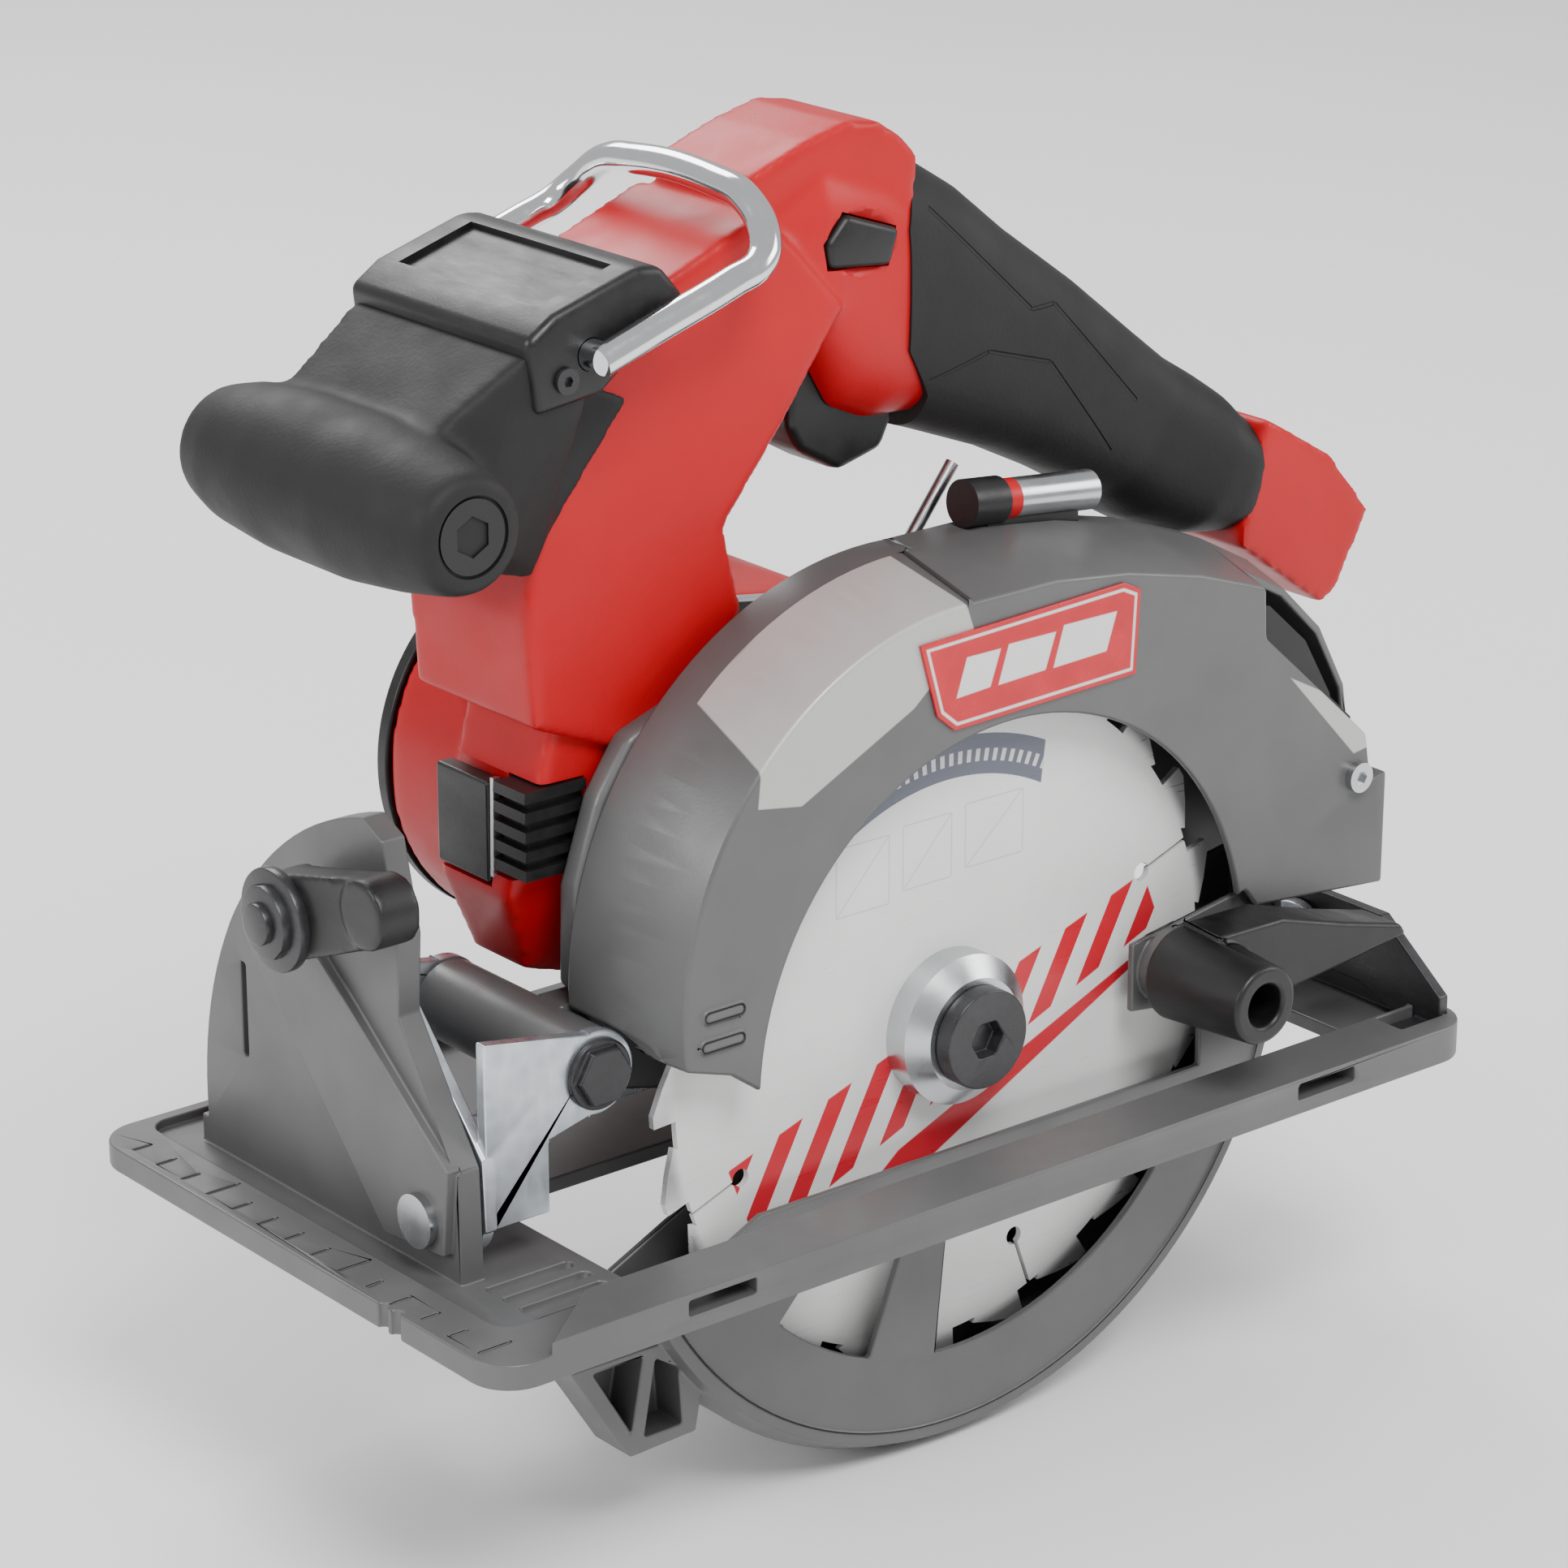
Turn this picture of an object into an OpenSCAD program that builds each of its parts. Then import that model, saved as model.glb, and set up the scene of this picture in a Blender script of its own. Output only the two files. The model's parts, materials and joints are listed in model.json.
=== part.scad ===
// Cordless circular saw with the blade on the left. Units are millimetres.
// X runs along the cut, with the front of the saw at -X; the motor is on the +Y side; Z is up.
// The origin lies on the underside of the shoe, under the blade arbor, in the middle of the blade.

/* [Blade] */
// Blade diameter
blade_d = 165; // [150:1:168]
// Blade thickness
blade_t = 1.6; // [1.2:0.1:2]
// Hole in the blade
blade_bore = 20; // [18:0.5:22]
// Number of teeth on the blade
blade_teeth = 24; // [18:2:36]
// Height of the arbor above the underside of the shoe
arbor_h = 31.8; // [31.6:0.1:32.6]

/* [Shoe] */
// Front edge of the shoe
shoe_x0 = -149.6; // [-158:0.2:-148]
// Rear edge of the shoe
shoe_x1 = 134; // [133:0.5:150]
// Blade-side edge of the shoe
shoe_y0 = -36.6; // [-42:0.2:-34]
// Motor-side edge of the shoe
shoe_y1 = 117.7; // [114:0.5:130]
// Thickness of the shoe plate
shoe_t = 3.6; // [2.8:0.2:4]
// Height of the rim around the shoe
rim_h = 8.8; // [7.2:0.2:9.2]

/* [Bevel] */
// Sideways place of the bevel axis
bevel_y = 15.8; // [15:0.1:16.4]
// Height of the bevel axis
bevel_z = 16.1; // [15.6:0.1:16.6]
// Outer radius of the front quadrant
quadrant_r = 86; // [84:0.5:90]
// Radius at which the bevel lock bolt sits
bevel_bolt_r = 69; // [67:0.5:70]
// Radius of the bevel rivets
bevel_pin_r = 3.5; // [3:0.1:4]

/* [Depth] */
// Radius of the depth pivot bolt
pivot_r = 4; // [3.5:0.1:4.5]
// Outer radius of the pivot barrel
barrel_r = 9; // [8:0.2:9.2]
// Radius of the middle of the depth quadrant
depth_r = 149; // [148.5:0.1:149.5]
// Width of the depth quadrant
depth_w = 15; // [13:0.5:19]

/* [Guards] */
// Outer radius of the lower guard
lower_r = 100.5; // [99:0.5:100.5]
// Wall of the lower guard
lower_wall = 2; // [1.6:0.1:2.2]
// Radius of the round window in the upper guard
window_r = 71; // [69:0.5:73]
// Wall of the upper guard
guard_wall = 2; // [1.6:0.1:2]

/* [Drive] */
// Gear module
gear_module = 1; // [0.98:0.01:1.01]
// Radius of the spindle
spindle_r = 7.5; // [7:0.1:8]
// Radius of the motor shaft
shaft_r = 3; // [2.5:0.1:3.5]
// Outer radius of the stator
stator_r = 27; // [25:0.5:28]

/* [Handle] */
// Middle plane of the handle
handle_y = 50; // [49.5:0.1:50.5]
// Half width of the rear grip
grip_half = 19; // [18:0.5:20]
// Half width of the strut
strut_half = 22; // [21:0.5:22]
// Half width of the battery foot
foot_half = 25; // [24:0.5:28]
// Wall of the handle shells
shell_wall = 3; // [2.4:0.2:3.2]
// Thickness of the soft cover over the grip
cover_t = 1.6; // [1.2:0.1:1.8]
// Travel of the trigger
trigger_travel = 6; // [4:0.5:6.5]
// Wire radius of the hanging hook
hook_r = 3.5; // [3:0.1:3.8]

/* [Fits] */
// Radial clearance of running fits
run_gap = 0.05; // [0.02:0.01:0.1]
// Gap between pieces that move past each other
move_gap = 0.5; // [0.4:0.1:0.6]

/* [Hidden] */
$fn = 64;
blade_r = blade_d / 2;
arbor = [0, arbor_h];
pivot = [-92, 42];
gear_teeth = 48;
pinion_teeth = 10;
drive_angle = 120;
gear_r = gear_module * gear_teeth / 2;
pinion_r = gear_module * pinion_teeth / 2;
motor = arbor + (gear_r + pinion_r) * [cos(drive_angle), sin(drive_angle)];
flange_r = 17.5;
nose_r = 21.5;
bearing_r = 16;
tail_r = 4;
tail_bearing_r = 11;
motor_bearing_r = 8;
guard_y0 = -11;
guard_y1 = 22.5;
inner_wall_y = 20;
port_y = -3;
crest = [-3, 54];
crest_r = 84.5;
crest_y = 12;
chamfer = 6;
window = [10, 32];
rim_y0 = -8;
hub_y0 = 10.5;
hub_y1 = 17;
hub_r = 27;
case_y1 = 35.5;
case_r = gear_r + 2.4;
plate_y1 = 41;
stator_y0 = 50;
stator_y1 = 78;
cap_y0 = 91;
motor_y1 = 97;
rail_w = 16;
rim_w = 3.4;
slot_x0 = -100;
slot_x1 = 113;
slot_y0 = shoe_y0 + rail_w;
slot_y1 = 37;
quadrant_x0 = -129;
quadrant_x1 = -123;
tilt_x0 = -122.4;
tilt_x1 = -119.4;
block_x1 = -105;
ear_r = 9.5;
ear_a = [6, 9];
ear_b = [60.5, 63.5];
bolt_angle = 62;
slot_range = 50;
bolt_r = 3;
bolt_y = bevel_y + bevel_bolt_r * cos(bolt_angle);
bolt_z = bevel_z + bevel_bolt_r * sin(bolt_angle);
bracket_x0 = 128.6;
bracket_x1 = 131.6;
lug_x0 = 124.6;
lug_x1 = 128;
arc_y0 = 23.8;
arc_y1 = 26.8;
lock_angle = 5;
lock = pivot + depth_r * [cos(lock_angle), sin(lock_angle)];
lock_r = 3;
hinge = [-83, 195];
block_y0 = 16.5;
block_y1 = 80.5;
grip_axis = [-125, 168];
post = [60, 32.5];
button = [3, 204.5];
trigger_half = 9;
trigger_origin = [3, 160];
trigger_dir = 65;
key_r = 1.6;

// ---- helpers ----

// Extrude an X-Z outline along +Y, from y0 to y1
module along_y(y0, y1) {
    translate([0, y1, 0])
        rotate([90, 0, 0])
            linear_extrude(y1 - y0)
                children();
}

// Extrude a Y-Z outline along +X, from x0 to x1
module along_x(x0, x1) {
    translate([x0, 0, 0])
        rotate([90, 0, 90])
            linear_extrude(x1 - x0)
                children();
}

// Cylinder along Y about the point p in X-Z
module y_rod(p, y0, y1, r) {
    translate([p[0], y1, p[1]])
        rotate([90, 0, 0])
            cylinder(r = r, h = y1 - y0);
}

// Tube along Y about the point p in X-Z
module y_tube(p, y0, y1, r_in, r_out) {
    difference() {
        y_rod(p, y0, y1, r_out);
        y_rod(p, y0 - 1, y1 + 1, r_in);
    }
}

// Cylinder along X about the point y, z
module x_rod(y, z, x0, x1, r) {
    translate([x0, y, z])
        rotate([0, 90, 0])
            cylinder(r = r, h = x1 - x0);
}

// Round rod between two points
module rod(p, q, r) {
    run = q - p;
    translate(p)
        rotate([0, acos(run[2] / norm(run)), atan2(run[1], run[0])])
            cylinder(r = r, h = norm(run), $fn = 32);
}

// Turn an outline of radius and Y about an axis along Y through the point p in X-Z
module turned_y(p, a0, a1) {
    translate([p[0], 0, p[1]])
        mirror([0, 1, 0])
            rotate([90, 0, 0])
                rotate([0, 0, a0])
                    rotate_extrude(angle = a1 - a0, $fn = 128)
                        children();
}

// Box between two corners
module box(a, b) {
    translate(a)
        cube(b - a);
}

// Circle at the point p
module disc(p, r) {
    translate(p)
        circle(r = r);
}

// Two circles joined by their outer tangents
module blend(p, r1, q, r2) {
    run = norm(q - p);
    heading = atan2(q[1] - p[1], q[0] - p[0]);
    open = acos((r1 - r2) / run);
    disc(p, r1);
    disc(q, r2);
    slack = 0.02;
    polygon([
        p + (r1 - slack) * [cos(heading + open), sin(heading + open)],
        q + (r2 - slack) * [cos(heading + open), sin(heading + open)],
        q + (r2 - slack) * [cos(heading - open), sin(heading - open)],
        p + (r1 - slack) * [cos(heading - open), sin(heading - open)]]);
}

// Wedge about the point p, from angle a0 to a1, reaching past radius r
module wedge(p, r, a0, a1) {
    steps = 8;
    translate(p)
        polygon(concat([[0, 0]], [for (i = [0:steps])
            1.1 * r * [cos(a0 + (a1 - a0) * i / steps), sin(a0 + (a1 - a0) * i / steps)]]));
}

// Part of a ring about the point p
module arc_band(p, r0, r1, a0, a1) {
    intersection() {
        difference() {
            disc(p, r1, $fn = 128);
            disc(p, r0, $fn = 128);
        }
        wedge(p, r1, a0, a1);
    }
}

// Rectangle with round corners
module round_rect(x0, y0, x1, y1, r) {
    translate([x0 + r, y0])
        square([x1 - x0 - 2 * r, y1 - y0]);
    translate([x0, y0 + r])
        square([x1 - x0, y1 - y0 - 2 * r]);
    for (x = [x0 + r, x1 - r], y = [y0 + r, y1 - r])
        disc([x, y], r);
}

// Spur gear outline; its first tooth points along the angle phase
module gear(teeth, r, phase) {
    tip = r + 0.9 * gear_module;
    root = r - 1.2 * gear_module;
    circle(r = root + 0.05);
    for (i = [0:teeth - 1])
        rotate(phase + i * 360 / teeth)
            polygon([[root, -0.75], [tip, -0.4], [tip, 0.4], [root, 0.75]]);
}

// Point at distance d towards the point c from p
function pull(p, c, d) = p + d * (c - p) / norm(c - p);

// ---- shoe, front quadrant and rear bracket ----

module rim_outline(inset) {
    round_rect(shoe_x0 + inset, shoe_y0 + inset, shoe_x1 - inset, shoe_y1 - inset, 10 - inset);
}

module quadrant_outline() {
    intersection() {
        disc([bevel_y, bevel_z], quadrant_r, $fn = 128);
        polygon([[5, shoe_t - 1], [106, shoe_t - 1], [106, 70], [60, 110], [30, 96], [25, 76], [26, 58],
                 [6, 29]]);
    }
}

module shoe() {
    color([0.46, 0.46, 0.47])
        difference() {
            union() {
                difference() {
                    linear_extrude(rim_h)
                        rim_outline(0);
                    translate([0, 0, shoe_t])
                        linear_extrude(rim_h)
                            round_rect(-137, slot_y0, shoe_x1 - rim_w, shoe_y1 - rim_w, 5);
                    translate([0, 0, rim_h - 3])
                        linear_extrude(rim_h)
                            polygon([[shoe_x0 - 1, shoe_y0 - 1], [-138, shoe_y0 - 1], [-116, slot_y0],
                                     [-116, shoe_y1 + 1], [shoe_x0 - 1, shoe_y1 + 1]]);
                    for (x = [-101, 76])
                        box([x, shoe_y0 - 1, shoe_t], [x + 18, slot_y0 + 1, rim_h - 1.6]);
                }
                along_x(quadrant_x0, quadrant_x1)
                    quadrant_outline();
                along_x(quadrant_x0 - 2.4, quadrant_x0 + 1)
                    polygon([[8, 10], [30, 8], [78, 58], [62, 72], [6, 30]]);
                box([quadrant_x0, 60, 2], [quadrant_x1 + 12, 104, 10]);
            }
            translate([0, 0, -1])
                linear_extrude(rim_h + 2)
                    round_rect(slot_x0, slot_y0, slot_x1, slot_y1, 4);
            for (i = [0:3])
                translate([0, 0, -1])
                    linear_extrude(rim_h + 2)
                        round_rect(-126, -19.5 + 6 * i, -104, -16.5 + 6 * i, 1.4);
            for (y = [0, 4.5])
                translate([shoe_x0, y, -1])
                    cylinder(r = 1.6, h = rim_h + 2, $fn = 24);
            for (i = [0:13])
                box([-147, -26 + 10 * i, rim_h - 3.6], [i % 5 == 0 ? -139 : -142.5, -25.2 + 10 * i, 12]);
            box([bracket_x0, -30, shoe_t], [bracket_x1, 46, rim_h + 1]);
            box([115.8, -30.2, shoe_t], [bracket_x0 + 1, -21.8, rim_h + 1]);
            x_rod(bevel_y, bevel_z, quadrant_x0 - 4, quadrant_x1 + 1, bevel_pin_r);
            x_rod(bolt_y, bolt_z, quadrant_x0 - 4, quadrant_x1 + 1, bolt_r);
            box([quadrant_x0 - 1, 84, 30], [quadrant_x0 + 2.4, 86, 52]);
        }
}

module rear_bracket() {
    color([0.14, 0.14, 0.15])
        difference() {
            union() {
                along_x(bracket_x0, bracket_x1)
                    polygon([[-30, shoe_t], [-18, shoe_t], [-4, 9], [32, 9], [40, shoe_t], [46, shoe_t],
                             [30, 28], [-10, 28], [-30, 13]]);
                box([116, -30, shoe_t], [bracket_x0 + 1, -22, shoe_t + 2.6]);
                box([116, 39, shoe_t], [bracket_x0 + 1, 45.6, shoe_t + 2.6]);
            }
            x_rod(bevel_y, bevel_z, bracket_x0 - 1, bracket_x1 + 1, bevel_pin_r);
        }
}

module bevel_rivets() {
    color([0.78, 0.79, 0.8]) {
        x_rod(bevel_y, bevel_z, quadrant_x0 - 2.4, block_x1 - 3, bevel_pin_r);
        x_rod(bevel_y, bevel_z, quadrant_x0 - 4.4, quadrant_x0 - 2.4, 6);
        x_rod(bevel_y, bevel_z, lug_x0 - 1, bracket_x1, bevel_pin_r);
        x_rod(bevel_y, bevel_z, bracket_x1, bracket_x1 + 2, 6);
    }
}

// Lock bolt of the bevel, standing in the front quadrant
module bevel_bolt() {
    color([0.7, 0.7, 0.72]) {
        x_rod(bolt_y, bolt_z, quadrant_x0 - 12, tilt_x1 + move_gap, bolt_r);
        x_rod(bolt_y, bolt_z, tilt_x1 + move_gap, tilt_x1 + move_gap + 2, 6);
    }
}

module bevel_lever() {
    color([0.12, 0.12, 0.13])
        difference() {
            union() {
                x_rod(bolt_y, bolt_z, -147, quadrant_x0 - 3, 9);
                along_x(-144, quadrant_x0 - 4)
                    blend([bolt_y, bolt_z], 9, [17, 87], 7.5);
            }
            x_rod(bolt_y, bolt_z, -142, quadrant_x0, bolt_r + run_gap);
        }
}

// ---- tilting frame ----

module tilt_plate_outline() {
    difference() {
        union() {
            arc_band([bevel_y, bevel_z], bevel_bolt_r - 8, bevel_bolt_r + 7, bolt_angle - slot_range - 6,
                     bolt_angle + 6);
            polygon([[5, 14], [26, 8], [66, 18], [84, 20], [78, 30], [66, 50], [50, 66], [40, 66], [6, 30]]);
            disc([bevel_y, bevel_z], 10);
        }
        arc_band([bevel_y, bevel_z], bevel_bolt_r - bolt_r - move_gap, bevel_bolt_r + bolt_r + move_gap,
                 bolt_angle - slot_range - 4, bolt_angle + 4);
    }
}

module ear_outline() {
    difference() {
        union() {
            disc(pivot, ear_r);
            polygon([[tilt_x0 + 1, 26], [pivot[0] - 2, pivot[1] - ear_r + 0.2], pivot,
                     [pivot[0] - 2, pivot[1] + ear_r - 0.2], [tilt_x0 + 1, 56]]);
        }
        disc(pivot, pivot_r);
    }
}

module tilt_bracket() {
    color([0.74, 0.76, 0.77])
        difference() {
            union() {
                along_x(tilt_x0, tilt_x1)
                    tilt_plate_outline();
                along_x(tilt_x0, block_x1)
                    polygon([[6, 13.5], [26, 13.5], [26, 26], [6, 30]]);
                along_y(ear_a[0], ear_a[1])
                    ear_outline();
                along_y(ear_b[0], ear_b[1])
                    ear_outline();
            }
            x_rod(bevel_y, bevel_z, tilt_x0 - 1, block_x1 + 1, bevel_pin_r + run_gap);
        }
}

// Arc that sets the cutting depth, with a foot running back to the rear bevel rivet
module depth_quadrant() {
    color([0.68, 0.69, 0.71])
        difference() {
            union() {
                along_y(arc_y0, arc_y1)
                    difference() {
                        union() {
                            arc_band(pivot, depth_r - depth_w / 2, depth_r + depth_w / 2, -9, 38.6);
                            polygon([[48, 10], [lug_x1, 10], [lug_x1, 22], [62, 22]]);
                        }
                        arc_band(pivot, depth_r - lock_r - move_gap, depth_r + lock_r + move_gap,
                                 lock_angle - 1.6, lock_angle + 31.6);
                    }
                along_x(lug_x0, lug_x1) {
                    disc([bevel_y, bevel_z], 8.5);
                    polygon([[bevel_y, 10], [arc_y1, 10], [arc_y1, 22], [bevel_y, 22]]);
                }
                // bars along the opening, tying the arc to the front bracket
                box([tilt_x1, 43.5, 14], [52, 46.5, 21]);
                box([49, arc_y0, 14], [52, 46.5, 21]);
            }
            x_rod(bevel_y, bevel_z, lug_x0 - 2, lug_x1 + 1, bevel_pin_r + run_gap);
        }
}

// ---- pivot, upper guard and gear case ----

module pivot_bolt() {
    color([0.15, 0.15, 0.16]) {
        y_rod(pivot, ear_a[0] - 1.5, ear_b[1] + 5, pivot_r);
        y_rod(pivot, ear_a[0] - 1.5, ear_a[0], 8);
        y_rod(pivot, ear_a[0] - 3.5, ear_a[0] - 1.5, 7, $fn = 6);
        difference() {
            y_rod(pivot, ear_b[1], ear_b[1] + 5, 7.5, $fn = 6);
            y_rod(pivot, ear_b[1] - 1, ear_b[1] + 6, pivot_r);
        }
    }
}

// Rear edge of the upper guard, from the crest down to the tail
tail = [[0, 138.45], [22, 138.6], [44, 136], [67, 130.8], [87, 124], [102, 116], [115, 103.5], [124, 87],
        [127.4, 68], [127.4, 37]];
tail_centre = [45, 70];

module guard_outline(inset, floor_z) {
    intersection() {
        union() {
            disc(crest, crest_r - inset, $fn = 128);
            polygon(concat([for (p = tail) pull(p, tail_centre, inset * 1.15)], [[20, 20], [0, 60]]));
        }
        polygon([[-100, 160], [140, 160], [140, floor_z + 3], [127.4, floor_z + 3], [86, floor_z + 7],
                 [82, floor_z + 12], [60, floor_z], [-60, floor_z], [-69, floor_z + 6.5], [-80, floor_z + 10],
                 [-100, floor_z + 17]]);
    }
}

// Take the blade-side corner off along one straight edge from p to q
module edge_cut(p, q, inset) {
    run = norm(q - p);
    translate([p[0], crest_y, p[1]])
        rotate([0, -atan2(q[1] - p[1], q[0] - p[0]), 0])
            rotate([atan(chamfer / (crest_y - guard_y0)), 0, 0])
                translate([-3, -40, -inset])
                    cube([run + 6, 40, 30]);
}

module guard_body(inset, y0, y1, floor_z) {
    difference() {
        along_y(y0, y1)
            guard_outline(inset, floor_z);
        turned_y(crest, 89, 215)
            polygon([[crest_r - inset, crest_y], [crest_r - inset - chamfer, guard_y0],
                     [crest_r - inset - chamfer, guard_y0 - 1], [crest_r + 30, guard_y0 - 1],
                     [crest_r + 30, crest_y]]);
        for (i = [0:len(tail) - 3])
            edge_cut(tail[i], tail[i + 1], inset);
    }
}

module upper_guard() {
    color([0.45, 0.45, 0.46])
        difference() {
            union() {
                difference() {
                    guard_body(0, guard_y0, guard_y1, 34);
                    guard_body(guard_wall, guard_y0 + guard_wall, inner_wall_y, 18);
                }
                along_y(inner_wall_y, guard_y1)
                    disc(arbor, case_r);
                for (z = [47.8, 54.4])
                    along_y(guard_y0 - 0.8, guard_y0 + 1)
                        round_rect(-77.6 + (z - 47) / 8, z, -66, z + 2.6, 1.2);
            }
            y_rod(window, guard_y0 - 2, guard_y0 + guard_wall + 0.2, window_r, $fn = 128);
            y_rod(arbor, inner_wall_y - 1, guard_y1 + 1, nose_r);
            along_y(guard_y0 - 1, port_y)
                port_opening();
            y_rod(lock, inner_wall_y - 1, guard_y1 + 1, lock_r);
            y_rod(pivot, guard_y0 - 1, guard_y1 + 1, ear_r + move_gap);
            for (p = guard_screw_points)
                y_rod(p, guard_y0 - 1, guard_y0 + guard_wall + 1, 1.8);
        }
}

// Opening of the dust outlet, in the rear shoulder of the guard
module port_opening() {
    polygon([[85.5, 126], [86.5, 106], [121.5, 74.5], [132, 76], [120, 112]]);
}

// Tray behind the dust outlet
module dust_port() {
    color([0.1, 0.1, 0.11])
        difference() {
            along_y(guard_y0 + guard_wall, port_y + 2)
                polygon([[82, 113], [83.4, 102], [117, 71], [118.4, 71], [115.4, 84.6], [106.8, 99.2],
                         [94.8, 110]]);
            along_y(guard_y0, port_y)
                translate([0.6, 0.6])
                    port_opening();
        }
}

guard_screw_points = [[117, 66]];

module guard_screws() {
    color([0.75, 0.75, 0.77])
        for (p = guard_screw_points)
            difference() {
                union() {
                    y_rod(p, guard_y0 - 2, guard_y0, 3.6);
                    y_rod(p, guard_y0 - 0.5, guard_y0 + guard_wall, 1.8);
                }
                y_rod(p, guard_y0 - 3, guard_y0 - 0.8, 1.7, $fn = 6);
            }
}

module badge_plate() {
    color([0.8, 0.06, 0.09])
        along_y(guard_y0 - 0.8, guard_y0)
            polygon([[-18, 126], [41, 128.4], [46, 126], [45, 106.5], [-8, 104.8], [-13, 109]]);
}

module gear_case() {
    color([0.44, 0.44, 0.45]) {
        difference() {
            union() {
                along_y(guard_y1, case_y1) {
                    disc(arbor, case_r);
                    blend(arbor, 18, motor, 10.5);
                }
                along_y(guard_y1, 30)
                    blend(arbor, case_r - 4, pivot, barrel_r);
                y_rod(pivot, ear_a[1] + move_gap, ear_b[0] - move_gap, barrel_r + 0.2);
                y_rod(arbor, 9, guard_y1 + 1, nose_r);
            }
            y_rod(pivot, ear_a[1] - 1, ear_b[0] + 1, pivot_r + run_gap);
            y_rod(arbor, hub_y0 - 0.5, 19.5, bearing_r);
            y_rod(arbor, 8, 26, spindle_r + 3);
            along_y(25, case_y1 + 1) {
                disc(arbor, gear_r + 1.4);
                disc(motor, pinion_r + 2.4);
            }
        }
    }
}

module bearing_plate() {
    color([0.62, 0.63, 0.65])
        difference() {
            along_y(case_y1, plate_y1)
                difference() {
                    union() {
                        housing_outline(0);
                        disc(arbor, case_r);
                    }
                    chin_outline(0);
                    disc(motor, shaft_r + 2);
                    disc(arbor, tail_r + 3);
                }
            y_rod(arbor, case_y1 - 1, plate_y1 - 1, tail_bearing_r);
            y_rod(motor, case_y1 + 0.5, plate_y1 + 1, motor_bearing_r);
        }
}

// ---- motor ----

module housing_outline(inset) {
    disc([-42, 85], 43.5 - inset, $fn = 96);
    disc([-12, 88], 36 - inset, $fn = 96);
    disc([-14.5, 57], 33 - inset, $fn = 96);
    polygon([[-42, 85 + 43.5 - inset], [-12, 124 - inset], [21, 75], [-14.5, 57], [-60, 60]]);
}

module chin_outline(inset) {
    centre = [-68, 82];
    polygon([for (p = [[-88, 95], [-93, 70], [-91, 50], [-70, 42], [-50, 40], [-44, 80], [-50, 121.5],
                       [-89.6, 117.5]]) pull(p, centre, inset)]);
}

module motor_housing() {
    color([0.8, 0.07, 0.1])
        difference() {
            union() {
                along_y(plate_y1, cap_y0)
                    housing_outline(0);
                along_y(30.5, ear_b[0] - move_gap)
                    chin_outline(0);
            }
            difference() {
                along_y(plate_y1 - 1, cap_y0 + 1)
                    housing_outline(3);
                y_tube(motor, stator_y0, stator_y1, stator_r, stator_r + 3);
            }
            along_y(33.5, ear_b[0] - 3.5)
                chin_outline(4);
            y_rod(pivot, 20, 70, barrel_r + 0.3);
            y_rod(pivot, ear_b[0] - move_gap, 70, ear_r + move_gap);
            box([-100, 42.4, 73], [-85.6, 62.5, 98.4]);
            box([-100, 32, 78], [-85.6, 41.6, 98]);
            x_rod(50, 86, -90, -50, 4 + move_gap);
            for (i = [0:4])
                along_y(cap_y0 - 12, cap_y0 + 1)
                    translate([-30 + 9 * i, 100])
                        square([4.5, 40]);
        }
}

cap_screw_points = [[-72, 104], [-72, 66], [10, 106], [8, 44]];

module motor_cap() {
    color([0.12, 0.12, 0.13])
        difference() {
            union() {
                along_y(cap_y0, motor_y1 - 2)
                    housing_outline(0);
                along_y(motor_y1 - 3, motor_y1)
                    housing_outline(3);
                y_rod(motor, cap_y0 - 7, cap_y0 + 1, motor_bearing_r + 3);
            }
            y_rod(motor, cap_y0 - 8, cap_y0 - 3, motor_bearing_r);
            for (p = cap_screw_points)
                y_rod(p, cap_y0 - 1, motor_y1 + 1, 2);
            for (i = [0:5])
                along_y(cap_y0 - 1, motor_y1 + 1)
                    round_rect(-62 + 9 * i, 62 + i, -57 + 9 * i, 104, 2.4);
        }
}

module cap_screws() {
    color([0.3, 0.3, 0.32])
        for (p = cap_screw_points)
            difference() {
                union() {
                    y_rod(p, cap_y0 - 2, motor_y1, 2);
                    y_rod(p, motor_y1, motor_y1 + 1.6, 3.6);
                }
                y_rod(p, motor_y1 + 0.4, motor_y1 + 2, 1.6, $fn = 6);
            }
}

module stator() {
    color([0.5, 0.5, 0.53])
        along_y(stator_y0, stator_y1)
            translate(motor) {
                difference() {
                    circle(r = stator_r);
                    circle(r = stator_r - 6);
                }
                for (i = [0:5])
                    rotate(60 * i) {
                        translate([14, -3])
                            square([stator_r - 19, 6]);
                        translate([14, -5])
                            square([2, 10]);
                    }
            }
}

module windings() {
    color([0.72, 0.38, 0.15])
        along_y(stator_y0 - 1, stator_y1 + 2)
            translate(motor)
                for (i = [0:5])
                    rotate(60 * i + 30)
                        for (s = [-1, 1])
                            translate([16.5, s > 0 ? 0.4 : -5.4])
                                square([3.4, 5]);
}

module rotor_shaft() {
    color([0.75, 0.76, 0.78])
        y_rod(motor, case_y1 - 9, cap_y0 - 3, shaft_r);
}

module rotor_core() {
    color([0.4, 0.4, 0.43])
        y_tube(motor, stator_y0 + 1, stator_y1 - 1, shaft_r, 13);
}

module cooling_fan() {
    color([0.1, 0.1, 0.11])
        difference() {
            union() {
                y_rod(motor, plate_y1 + 1, plate_y1 + 7, 8);
                y_rod(motor, plate_y1 + 5.4, plate_y1 + 7, 24);
                along_y(plate_y1 + 1, plate_y1 + 6)
                    translate(motor)
                        for (i = [0:10])
                            rotate(i * 360 / 11)
                                translate([6, -0.8])
                                    square([17.5, 1.6]);
            }
            y_rod(motor, plate_y1, plate_y1 + 8, shaft_r);
        }
}

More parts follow.
